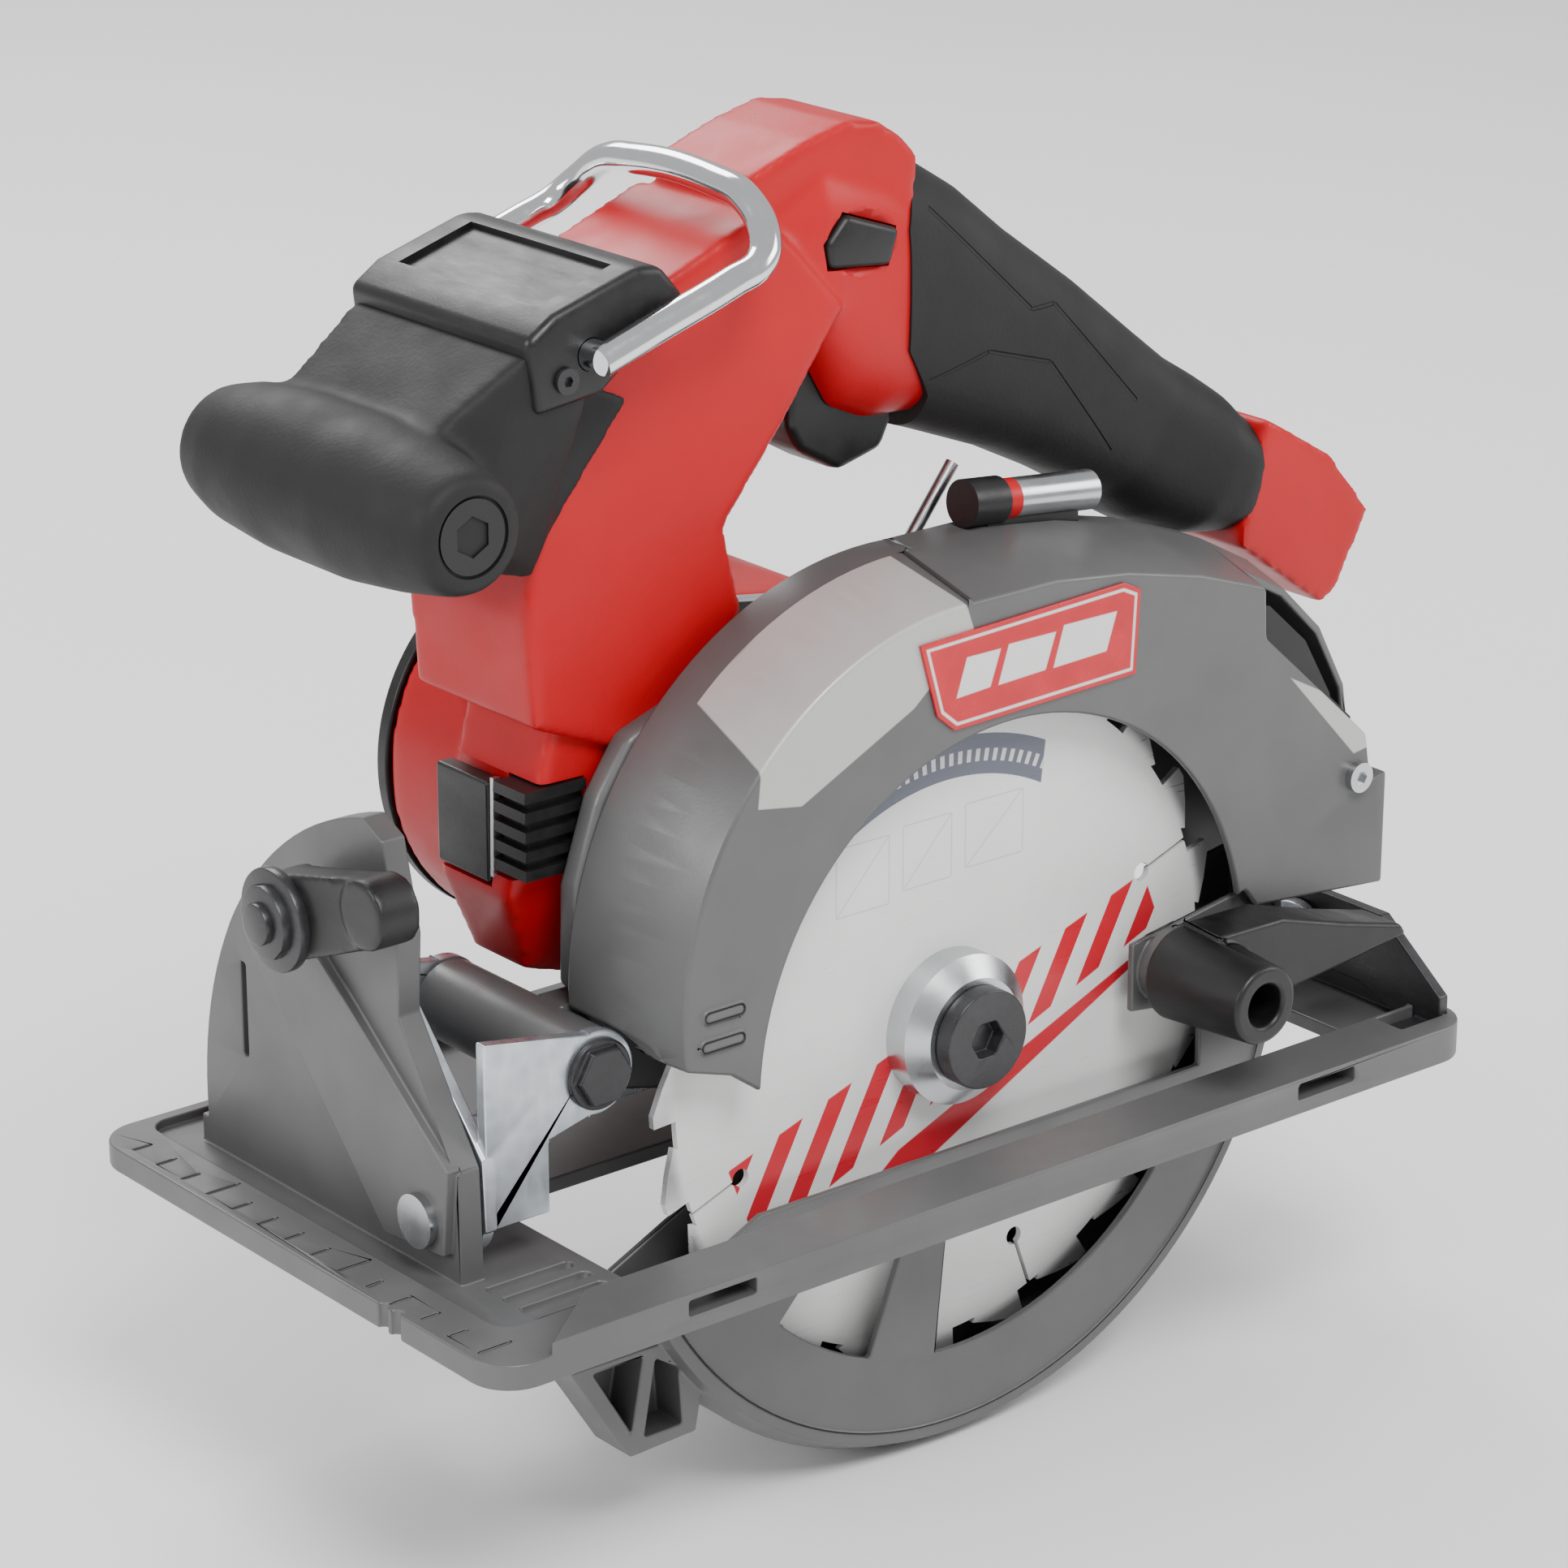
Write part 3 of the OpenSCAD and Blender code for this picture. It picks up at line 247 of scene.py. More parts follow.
def soft_rubber(name="soft_rubber", color=(0.012, 0.0121, 0.0125), panels=False):
    """Dark grey moulded rubber with a leathery grain and dusty high spots, and sunk panel seams if wanted."""
    mat, tree, main = shader(name, color, 0.62)
    broad = noise(tree, 26, 5, 0.6)
    pale = tuple(c * 1.25 for c in color)
    dark = tuple(c * 0.88 for c in color)
    link(tree, ramp(tree, broad, [(0.3, dark), (0.72, pale)]), main, "Base Color")
    link(tree, grey_ramp(tree, noise(tree, 90, 4), 0.56, 0.66), main, "Roughness")
    main.inputs["Specular IOR Level"].default_value = 0.35
    grain = node(tree, "ShaderNodeTexVoronoi", feature="SMOOTH_F1", scale=1100)
    tree.links.new(place(tree), grain.inputs["Vector"])
    swell = bump(tree, main, broad, 0.08, 0.6)
    grained = bump(tree, main, grain.outputs["Distance"], 0.3, 0.16, swell)
    if panels:
        x, _, z = coordinates(tree)
        seam = stroke_mask(tree, x, z, UPPER_SEAM, SEAM_HALF)
        lower = stroke_mask(tree, x, z, LOWER_SEAM, SEAM_HALF)
        seams = math_node(tree, "MAXIMUM", seam, lower)
        bump(tree, main, math_node(tree, "SUBTRACT", 1.0, seams), 1.0, 0.9, grained)
    return mat


def black_plastic(name="black_plastic", color=(0.006, 0.006, 0.0065), roughness=0.4):
    """Black glass-filled nylon with fine texture and scuffs."""
    mat, tree, main = shader(name, color, roughness)
    scuff = noise(tree, 120, 6, 0.7, place(tree, (1, 0.3, 1)))
    pale = tuple(c * 2.2 for c in color)
    link(tree, ramp(tree, scuff, [(0.45, color), (0.75, pale)]), main, "Base Color")
    link(tree, grey_ramp(tree, scuff, roughness - 0.08, roughness + 0.12), main, "Roughness")
    bump(tree, main, noise(tree, 1500, 3, 0.6), 0.3, 0.12)
    return mat


def turned_steel(name="turned_steel", color=(0.62, 0.63, 0.65), roughness=0.24, lines=2600):
    """Bright steel with fine turning lines about Y and dull smears."""
    mat, tree, main = shader(name, color, roughness, 1.0)
    smear = noise(tree, 45, 5, 0.6)
    link(tree, ramp(tree, smear, [(0.3, tuple(c * 0.82 for c in color)), (0.7, color)]), main, "Base Color")
    link(tree, grey_ramp(tree, smear, roughness - 0.06, roughness + 0.12), main, "Roughness")
    rings = noise(tree, lines, 2, 0.5, place(tree, (0.04, 1, 0.04)))
    bump(tree, main, rings, 0.12, 0.06)
    main.inputs["Anisotropic"].default_value = 0.3
    return mat


def plated_steel():
    """Zinc plated sheet: pale, slightly mottled, with light rubbing marks."""
    mat, tree, main = shader("plated_steel", (0.56, 0.6, 0.64), 0.3, 0.85)
    mottle = node(tree, "ShaderNodeTexVoronoi", feature="F1", scale=240)
    tree.links.new(place(tree), mottle.inputs["Vector"])
    spangle = ramp(tree, mottle.outputs["Distance"], [(0.0, (0.5, 0.54, 0.58)), (0.9, (0.66, 0.7, 0.73))])
    link(tree, spangle, main, "Base Color")
    marks = noise(tree, 300, 5, 0.7, place(tree, (1, 1, 0.08)))
    link(tree, grey_ramp(tree, marks, 0.22, 0.42), main, "Roughness")
    bump(tree, main, marks, 0.12, 0.08)
    return mat


def chrome():
    """Polished chrome wire with faint swirls."""
    mat, tree, main = shader("chrome", (0.8, 0.81, 0.83), 0.1, 1.0)
    swirl = noise(tree, 180, 5, 0.6, distortion=0.6)
    link(tree, grey_ramp(tree, swirl, 0.06, 0.2), main, "Roughness")
    bump(tree, main, swirl, 0.04, 0.05)
    return mat


def ring_mask(tree, radius, low, high, soft=0.15):
    """1 between two radii in millimetres."""
    soft = soft * MM
    rise = math_node(tree, "DIVIDE", math_node(tree, "SUBTRACT", radius, low * MM), soft, True)
    fall = math_node(tree, "DIVIDE", math_node(tree, "SUBTRACT", high * MM, radius), soft, True)
    return math_node(tree, "MULTIPLY", rise, fall)


def coordinates(tree):
    """X, Y and Z of each point of the piece, in metres."""
    split = node(tree, "ShaderNodeSeparateXYZ")
    tree.links.new(place(tree), split.inputs[0])
    return split.outputs[0], split.outputs[1], split.outputs[2]


def line_side(tree, x, z, p, q, offset=0.0):
    """1 to the left of the line from p to q, in millimetres, with a soft edge."""
    run = math.hypot(q[0] - p[0], q[1] - p[1])
    nx, nz = -(q[1] - p[1]) / run, (q[0] - p[0]) / run
    along_x = math_node(tree, "MULTIPLY", x, nx)
    along_z = math_node(tree, "MULTIPLY", z, nz)
    along = math_node(tree, "ADD", along_x, along_z)
    shifted = math_node(tree, "SUBTRACT", along, (nx * p[0] + nz * p[1] + offset) * MM)
    return math_node(tree, "DIVIDE", shifted, PRINT_EDGE * MM, True)


def convex_mask(tree, x, z, points, inset=0.0):
    """1 inside a convex outline whose points go anticlockwise in X and Z."""
    mask = 1.0
    for p, q in zip(points, points[1:] + points[:1]):
        side = line_side(tree, x, z, p, q, inset)
        mask = side if mask == 1.0 else math_node(tree, "MULTIPLY", mask, side)
    return mask


def stroke_mask(tree, x, z, points, half):
    """1 along a run of straight lines of some half width."""
    mask = None
    for p, q in zip(points, points[1:]):
        run = math.hypot(q[0] - p[0], q[1] - p[1])
        ux, uz = (q[0] - p[0]) / run, (q[1] - p[1]) / run
        vx, vz = -uz * half, ux * half
        corners = [(p[0] - vx, p[1] - vz), (q[0] - vx, q[1] - vz), (q[0] + vx, q[1] + vz),
                   (p[0] + vx, p[1] + vz)]
        part = convex_mask(tree, x, z, corners)
        mask = part if mask is None else math_node(tree, "MAXIMUM", mask, part)
    return mask


def blade_polar(tree):
    """Distance of each point from the arbor in metres, and its angle round the arbor."""
    split = node(tree, "ShaderNodeSeparateXYZ")
    tree.links.new(place(tree, offset=(0, 0, -ARBOR[1] * MM)), split.inputs[0])
    x, _, z = split.outputs
    flat = node(tree, "ShaderNodeCombineXYZ")
    tree.links.new(x, flat.inputs[0])
    tree.links.new(z, flat.inputs[1])
    length = node(tree, "ShaderNodeVectorMath", operation="LENGTH")
    tree.links.new(flat.outputs[0], length.inputs[0])
    return length.outputs["Value"], math_node(tree, "ARCTAN2", z, x)


def dial_print(tree, base, x, z):
    """Dark arc with a row of pale ticks, above the flange."""
    radius, angle = blade_polar(tree)
    arc = math_node(tree, "MULTIPLY", ring_mask(tree, radius, 57, 66.5),
                    convex_mask(tree, x, z, [(-36, 70), (26, 70), (30, 104), (-33, 104)]))
    base = mix_color(tree, arc, base, SLATE)
    waves = math_node(tree, "SINE", math_node(tree, "MULTIPLY", angle, TICK_RATE))
    ticks = math_node(tree, "GREATER_THAN", waves, 0.1)
    tick_band = math_node(tree, "MULTIPLY", ring_mask(tree, radius, 60, 63), arc)
    return mix_color(tree, math_node(tree, "MULTIPLY", ticks, tick_band), base, TICK_PALE)


def box_prints(tree, base, x, z):
    """Three faint outlined boxes, each with a stroke from corner to corner."""
    for left, low, right, high in ((-32, 64, -17, 80), (-13, 66, 1, 81), (5, 67, 22, 82)):
        box_line = stroke_mask(tree, x, z, [(left, low), (right, low), (right, high), (left, high),
                                            (left, low), (right, high)], 0.25)
        base = mix_color(tree, box_line, base, FAINT)
    return base


def sloped(points):
    """Points given along and across the sloping print, as X and Z."""
    c, s = math.cos(PRINT_SLOPE), math.sin(PRINT_SLOPE)
    return [(a * c - v * s, a * s + v * c + PRINT_RISE) for a, v in points]


def stripe_print(tree, base, x, z):
    """Rising band of leaning red bars, with a red wedge under it."""
    run = math_node(tree, "ADD", math_node(tree, "MULTIPLY", x, math.sin(BAR_LEAN)),
                    math_node(tree, "MULTIPLY", z, -math.cos(BAR_LEAN)))
    waves = math_node(tree, "SINE", math_node(tree, "MULTIPLY", run, BAR_RATE))
    bars = math_node(tree, "GREATER_THAN", waves, 0.05)
    band = convex_mask(tree, x, z, sloped([(-62, -9), (66, -9), (66, 5), (-62, 13)]))
    base = mix_color(tree, math_node(tree, "MULTIPLY", bars, band), base, PRINT_RED)
    wedge = convex_mask(tree, x, z, sloped([(-60, -25), (66, -14), (66, -12.5), (-20, -13)]))
    return mix_color(tree, wedge, base, PRINT_RED)


def coated_blade():
    """Pale coated saw plate with plain printed patterns, bare ground teeth and a rubbed rim."""
    mat, tree, main = shader("coated_blade", (0.8, 0.8, 0.79), 0.34, 0.1)
    x, _, z = coordinates(tree)
    base = ramp(tree, noise(tree, 30, 5), [(0.3, (0.74, 0.74, 0.73)), (0.7, (0.84, 0.84, 0.83))])
    base = dial_print(tree, base, x, z)
    base = box_prints(tree, base, x, z)
    base = stripe_print(tree, base, x, z)
    bare = ring_mask(tree, blade_polar(tree)[0], 76.5, 90, 2.5)
    base = mix_color(tree, bare, base, (0.66, 0.66, 0.66))
    link(tree, base, main, "Base Color")
    link(tree, math_node(tree, "MULTIPLY", bare, 0.7), main, "Metallic")
    brushed = noise(tree, 900, 3, 0.5, place(tree, (0.12, 1, 1)))
    link(tree, grey_ramp(tree, brushed, 0.26, 0.4), main, "Roughness")
    bump(tree, main, brushed, 0.06, 0.05)
    return mat


def badge_print():
    """Glossy red badge with a pale border and plain slanted bars."""
    mat, tree, main = shader("badge_print", (0.6, 0.008, 0.02), 0.22)
    x, _, z = coordinates(tree)
    outline = [(-18, 126), (-13, 109), (-8, 104.8), (45, 106.5), (46, 126), (41, 128.4)]
    rim = math_node(tree, "SUBTRACT", convex_mask(tree, x, z, outline, 1.0),
                    convex_mask(tree, x, z, outline, 1.7), True)
    bars = rim
    for left, low, right, high in ((-6, 112, 4, 121), (6, 112.5, 20, 121.5), (22, 113, 38, 122.5)):
        bar = convex_mask(tree, x, z, [(left - 2, low), (right - 2, low + 0.6), (right + 1, high),
                                       (left + 1, high)])
        bars = math_node(tree, "MAXIMUM", bars, bar)
    wear = noise(tree, 140, 5)
    base = ramp(tree, wear, [(0.3, (0.52, 0.005, 0.014)), (0.7, (0.62, 0.01, 0.022))])
    link(tree, mix_color(tree, bars, base, (0.75, 0.75, 0.74)), main, "Base Color")
    link(tree, grey_ramp(tree, wear, 0.18, 0.32), main, "Roughness")
    bump(tree, main, bars, 0.3, 0.12)
    return mat


def wound_copper():
    """Enamelled copper wire in close turns."""
    mat, tree, main = shader("wound_copper", (0.6, 0.25, 0.08), 0.32, 0.9)
    turns = node(tree, "ShaderNodeTexWave", scale=260, distortion=0.4)
    tree.links.new(place(tree), turns.inputs["Vector"])
    wire = ramp(tree, turns.outputs["Fac"], [(0.2, (0.3, 0.1, 0.03)), (0.7, (0.66, 0.3, 0.1))])
    link(tree, wire, main, "Base Color")
    bump(tree, main, turns.outputs["Fac"], 0.8, 0.4)
    return mat


def laminated_steel():
    """Stack of thin steel sheets, seen as fine lines across Y."""
    mat, tree, main = shader("laminated_steel", (0.3, 0.3, 0.32), 0.4, 0.9)
    sheets = node(tree, "ShaderNodeTexWave", bands_direction="Y", scale=320)
    tree.links.new(place(tree), sheets.inputs["Vector"])
    steel = ramp(tree, sheets.outputs["Fac"], [(0.3, (0.16, 0.16, 0.17)), (0.7, (0.36, 0.36, 0.38))])
    link(tree, steel, main, "Base Color")
    bump(tree, main, sheets.outputs["Fac"], 0.5, 0.2)
    return mat


def circuit_board():
    """Green board with a grid of pale tracks."""
    mat, tree, main = shader("circuit_board", (0.02, 0.16, 0.06), 0.3)
    tracks = node(tree, "ShaderNodeTexBrick", scale=220)
    tree.links.new(place(tree), tracks.inputs["Vector"])
    tracks.inputs["Color1"].default_value = (0.02, 0.2, 0.07, 1)
    tracks.inputs["Color2"].default_value = (0.015, 0.13, 0.05, 1)
    tracks.inputs["Mortar"].default_value = (0.5, 0.4, 0.12, 1)
    link(tree, tracks.outputs["Color"], main, "Base Color")
    bump(tree, main, tracks.outputs["Fac"], 0.3, 0.1)
    return mat


def studio_floor():
    """Matt, nearly white paper."""
    mat, tree, main = shader("studio_floor", (0.93, 0.93, 0.93), 0.7)
    paper = ramp(tree, noise(tree, 3, 2), [(0.3, (0.92, 0.92, 0.92)), (0.7, (0.95, 0.95, 0.95))])
    link(tree, paper, main, "Base Color")
    return mat


PAINT = cast_paint()
# Guard paint with a painted highlight on its outboard flats
GUARD_PAINT = cast_paint("guard_paint", highlight_facets=HIGHLIGHT_FACETS)
RED = moulded_red()
RUBBER = soft_rubber()
COVER = soft_rubber("grip_rubber", panels=True)
BLACK = black_plastic()
BLACK_STEEL = black_plastic("black_steel", (0.02, 0.02, 0.022), 0.3)
STEEL = turned_steel()
PLATED = plated_steel()
CHROME = chrome()
BLADE = coated_blade()
COPPER = wound_copper()
LAMINATIONS = laminated_steel()
BOARD = circuit_board()
BADGE = badge_print()
CAST_PLATE = turned_steel("machined_casting", (0.5, 0.51, 0.53), 0.42, 1200)

SLOT_MATERIAL = {
    "magnesium": PAINT, "black_steel": BLACK_STEEL, "bright_steel": STEEL, "plated_steel": PLATED,
    "red_shell": RED, "black_plastic": BLACK, "soft_cover": RUBBER, "chrome_wire": CHROME,
    "coated_blade": BLADE, "cast_plate": CAST_PLATE, "laminations": LAMINATIONS, "copper": COPPER,
    "board": BOARD}


# ---- mesh building ----

def finish_piece(name, bm, material, body, replaced=(), smooth_angle=35):
    """Make a piece of a bmesh in millimetres, and set what it rides on and stands for."""
    bmesh.ops.scale(bm, vec=(MM, MM, MM), verts=bm.verts)
    mesh = bpy.data.meshes.new(name)
    limit = math.radians(smooth_angle)
    for face in bm.faces:
        face.smooth = True
    for edge in bm.edges:
        edge.smooth = len(edge.link_faces) == 2 and edge.calc_face_angle(0) < limit
    bm.to_mesh(mesh)
    bm.free()
    piece = bpy.data.objects.new(name, mesh)
    bpy.context.scene.collection.objects.link(piece)
    mesh.materials.append(material)
    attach(piece, body)
    if replaced:
        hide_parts(*replaced)
    return piece


def node_body(name):
    """The body that a CAD piece belongs to."""
    bodies = frame["record"]["behaviour"]["bodies"]
    return next(body for body, nodes in bodies.items() if name in nodes)


def node_slot(name):
    """The material slot of a CAD piece."""
    return next(part["material_slot"] for part in frame["record"]["subparts"] if part["node"] == name)


def softened(name, width, material=None):
    """A copy of a CAD piece with its edges rounded off."""
    bm = bmesh.new()
    bm.from_mesh(frame["nodes"][name].data)
    bmesh.ops.scale(bm, vec=(1 / MM, 1 / MM, 1 / MM), verts=bm.verts)
    bmesh.ops.remove_doubles(bm, verts=bm.verts, dist=0.004)
    bmesh.ops.dissolve_limit(bm, angle_limit=math.radians(0.6), use_dissolve_boundaries=False,
                             verts=bm.verts, edges=bm.edges, delimit={"NORMAL"})
    slot = node_slot(name)
    piece = finish_piece(name + "_soft", bm, material or SLOT_MATERIAL[slot], node_body(name), (name,), 24)
    rounding = piece.modifiers.new("rounding", "BEVEL")
    rounding.width = width * MM
    rounding.segments = 2
    rounding.limit_method = "ANGLE"
    rounding.angle_limit = math.radians(28)
    rounding.use_clamp_overlap = False
    rounding.harden_normals = True
    rounding.miter_outer = "MITER_ARC"
    return piece


def slab(bm, outline, y0, y1):
    """Add a closed slab with an X-Z outline between two Y planes."""
    near = [bm.verts.new((x, y0, z)) for x, z in outline]
    face = bm.faces.new(near)
    grown = bmesh.ops.extrude_face_region(bm, geom=[face], use_keep_orig=True)
    far = [v for v in grown["geom"] if isinstance(v, bmesh.types.BMVert)]
    bmesh.ops.translate(bm, vec=(0, y1 - y0, 0), verts=far)


def slab_of(outline, y0, y1):
    """A new bmesh that holds one slab."""
    bm = bmesh.new()
    slab(bm, outline, y0, y1)
    return bm


def y_rod(bm, centre, y0, y1, radius, count=40):
    """Add a closed rod along Y; the centre is in X and Z."""
    middle = Matrix.Translation((centre[0], (y0 + y1) / 2, centre[1]))
    bmesh.ops.create_cone(bm, cap_ends=True, segments=count, radius1=radius, radius2=radius, depth=y1 - y0,
                          matrix=middle @ Matrix.Rotation(math.pi / 2, 4, "X"))


def rounded(bm, width, segments, over_angle=None):
    """Round the edges of closed shapes, or only those that turn by more than an angle in radians."""
    bmesh.ops.recalc_face_normals(bm, faces=bm.faces)
    edges = [e for e in bm.edges if over_angle is None or e.calc_face_angle(0) > over_angle]
    bmesh.ops.bevel(bm, geom=edges, offset=width, segments=segments, affect="EDGES", profile=0.5, material=-1)


def circle_points(centre, radius, count=48):
    """Points round a circle in X and Z."""
    return [(centre[0] + radius * math.cos(2 * math.pi * i / count),
             centre[1] + radius * math.sin(2 * math.pi * i / count)) for i in range(count)]


def hull_of(bm, points):
    """Add the convex hull of some points as a closed solid."""
    verts = [bm.verts.new(p) for p in points]
    result = bmesh.ops.convex_hull(bm, input=verts)
    spare = {g for g in result["geom_interior"] if isinstance(g, bmesh.types.BMVert)}
    bmesh.ops.delete(bm, geom=list(spare), context="VERTS")


def superellipse(angle, power):
    """A point on a circle squared off by a power over 2."""
    c, s = math.cos(angle), math.sin(angle)
    return (math.copysign(abs(c) ** (2 / power), c), math.copysign(abs(s) ** (2 / power), s))


def loft(bm, stations, power, count=40):
    """Skin rings set along a path. A station is (centre, along, up size, side size): along is the path's
    heading in the X-Z plane in degrees, or "y" for a ring square to Y; sizes are half widths."""
    loops = []
    for centre, heading, up, side in stations:
        ring = bmesh.ops.create_circle(bm, cap_ends=False, segments=count, radius=1)["verts"]
        for v in ring:
            a, b = superellipse(math.atan2(v.co.y, v.co.x), power)
            if heading == "y":
                v.co = Vector((centre[0] + a * side, centre[1], centre[2] + b * up))
            else:
                h = math.radians(heading)
                v.co = Vector((centre[0] - math.sin(h) * b * up, centre[1] + a * side,
                               centre[2] + math.cos(h) * b * up))
        loops.append(ring)
    for ring_a, ring_b in zip(loops, loops[1:]):
        edges = [e for e in bm.edges if (e.verts[0] in ring_a and e.verts[1] in ring_a)
                 or (e.verts[0] in ring_b and e.verts[1] in ring_b)]
        bmesh.ops.bridge_loops(bm, edges=edges)
    for ring in (loops[0], loops[-1]):
        bmesh.ops.contextual_create(bm, geom=ring)


def melt(name, bm, voxel, rounds):
    """Fuse overlapping closed shapes into one skin and smooth it. Returns a bmesh in millimetres."""
    bmesh.ops.recalc_face_normals(bm, faces=bm.faces)
    mesh = bpy.data.meshes.new(name)
    bm.to_mesh(mesh)
    bm.free()
    temp = bpy.data.objects.new(name, mesh)
    bpy.context.scene.collection.objects.link(temp)
    fuse = temp.modifiers.new("fuse", "REMESH")
    fuse.mode = "VOXEL"
    fuse.voxel_size = voxel
    soften = temp.modifiers.new("soften", "SMOOTH")
    soften.iterations = rounds
    soften.factor = 0.5
    return baked(temp)


def baked(temp):
    """The mesh of an object with its modifiers applied, as a bmesh; the object is removed."""
    graph = bpy.context.evaluated_depsgraph_get()
    mesh = bpy.data.meshes.new_from_object(temp.evaluated_get(graph))
    out = bmesh.new()
    out.from_mesh(mesh)
    bpy.data.objects.remove(temp)
    bpy.data.meshes.remove(mesh)
    return out


def carved(bm, cutter):
    """Cut one closed bmesh out of another; both are in millimetres."""
    objects = []
    for part, label in ((bm, "carve_body"), (cutter, "carve_tool")):
        bmesh.ops.recalc_face_normals(part, faces=part.faces)
        mesh = bpy.data.meshes.new(label)
        part.to_mesh(mesh)
        part.free()
        temp = bpy.data.objects.new(label, mesh)
        bpy.context.scene.collection.objects.link(temp)
        objects.append(temp)
    cut = objects[0].modifiers.new("cut", "BOOLEAN")
    cut.operation = "DIFFERENCE"
    cut.solver = "EXACT"
    cut.object = objects[1]
    out = baked(objects[0])
    bpy.data.objects.remove(objects[1])
    return out


# ---- handle ----

# Outlines in X and Z, round the handle's shells
STRUT = [(-34, 127), (-39, 147), (-22, 168), (-6, 190), (-28, 214), (-58, 202), (-80, 186), (-88, 165),
         (-92, 136), (-90, 112), (-60, 100)]
FOOT = [(119.6, 143), (121.6, 143), (142, 131), (155.5, 115), (146, 98), (141, 94), (113.4, 113.4),
        (113, 116)]
HUMP = [(-28, 204), (-28, 220.4), (-12, 226.2), (-0.4, 229.1), (8, 228), (15, 223.6), (19.5, 219), (16, 190),
        (-12, 188)]
BUTTON = [(-9.6, 204), (-4, 209.8), (11, 204.6), (8.4, 196.8), (-8.6, 198.4)]
COVER_EDGE = [(-60, 100), (-60, 260), (27, 260), (21, 220), (15.5, 203), (15.5, 176), (22.5, 164.5),
              (22.5, 130)]
# Middle of the button, and how much larger than the button its hole is
BUTTON_AT = (0.5, 203)
BUTTON_ROOM = 1.07


def handle_loft(bm, stations, power):
    """Loft down the handle's middle plane. A station is X, Z, heading, up size and side size."""
    loft(bm, [((x, HANDLE_Y, z), heading, up, side) for x, z, heading, up, side in stations], power=power)


def trigger_pocket():
    """Room for the trigger and the lock-off button in the handle."""
    bm = slab_of([(-16.6, -22), (16.1, -22), (16.1, 21), (-16.6, 21)], HANDLE_Y - 9.6, HANDLE_Y + 9.6)
    bmesh.ops.rotate(bm, matrix=Matrix.Rotation(-TRIGGER_TURN, 3, "Y"), verts=bm.verts)
    bmesh.ops.translate(bm, vec=(TRIGGER_AT[0], 0, TRIGGER_AT[1]), verts=bm.verts)
    mid_x, mid_z = BUTTON_AT
    hole = [(mid_x + BUTTON_ROOM * (x - mid_x), mid_z + BUTTON_ROOM * (z - mid_z)) for x, z in BUTTON]
    slab(bm, hole, HANDLE_Y - 40, HANDLE_Y + 40)
    return bm


def lock_button():
    """Five-sided lock-off button that shows on both sides of the handle."""
    reach = GRIP_HALF + 1.6
    bm = slab_of(BUTTON, HANDLE_Y - reach, HANDLE_Y + reach)
    rounded(bm, 1.5, 4)
    return finish_piece("lock_button", bm, BLACK, "lock_off", ("lock_off_button",), 30)


def button_scoop():
    """Shallow hollow round the lock-off button on both sides of the handle."""
    bm = bmesh.new()
    size = Matrix.Diagonal((14, 6.6, 10, 1))
    for y in (HANDLE_Y - GRIP_HALF - 4.2, HANDLE_Y + GRIP_HALF + 4.2):
        bmesh.ops.create_uvsphere(bm, u_segments=32, v_segments=16, radius=1,
                                  matrix=Matrix.Translation((2.5, y, 203.5)) @ size)
    return bm


def red_handle():
    """Both shells of the handle as one skin: hump, strut, core under the soft cover, and foot."""
    bm = slab_of(HUMP, HANDLE_Y - HUMP_HALF, HANDLE_Y + HUMP_HALF)
    handle_loft(bm, [(-22, 200, 10, 14, 19.5), (-8, 200, 0, 24, 20), (6, 192, -14, 29.5, 19),
                     (20, 184, -24, 27.5, 18.2), (36, 177, -27, 21, 17)], 3.0)
    slab(bm, STRUT, HANDLE_Y - STRUT_HALF, HANDLE_Y + STRUT_HALF)
    slab(bm, FOOT, HANDLE_Y - FOOT_HALF, HANDLE_Y + FOOT_HALF)
    handle_loft(bm, [(30, 178, -29, 20, 16.5), (62, 162, -30, 18, 15.4), (98, 139, -33, 15, 15.6),
                     (122, 126, -20, 11, 19)], 2.6)
    skin = melt("red_handle", bm, 1.25, 7)
    skin = carved(skin, trigger_pocket())
    skin = carved(skin, button_scoop())
    return finish_piece("red_handle", skin, RED, "saw_unit", ("handle_left", "handle_right"), 42)


def rear_grip():
    """Soft cover of the rear grip, from behind the lock-off button to the foot."""
    bm = bmesh.new()
    handle_loft(bm, [(2, 194, -14, 29.6, 19.2), (14, 189, -22, 29.4, 19.2), (25, 183.5, -27, 28, 19.2),
                     (40, 175, -28, 25, 19.2), (62, 163, -31, 21.8, 18.8), (80, 151.5, -33, 19.4, 18.8),
                     (92, 143.5, -34, 18.2, 19.2), (100, 137.5, -32, 19, 22), (108, 132.5, -26, 18.4, 26),
                     (114, 130, -17, 16, 27), (118.2, 128.6, -13.5, 15, 26.6)], 2.8)
    skin = melt("rear_grip", bm, 1.2, 4)
    skin = carved(skin, slab_of(COVER_EDGE, HANDLE_Y - 60, HANDLE_Y + 60))
    return finish_piece("rear_grip", skin, COVER, "saw_unit", ("grip_cover",), 42)


# ---- front grip and hook ----

# Rings along the front grip: Y, up size and side size
GRIP_RINGS = ((0.4, 11.5, 11.5), (3, 13, 13), (18, 15.6, 15.8), (34, 17.2, 17.4), (60, 17.2, 17.4),
              (78, 15.6, 15.8), (88, 13, 13), (91.6, 9, 9))
SOCKET_R = 4.4
PLUG_R = 7.9
PLUG_SEAT_R = 8.6
# The block's sunk top rises to the rear by this much for each millimetre
TOP_SLOPE = 0.31


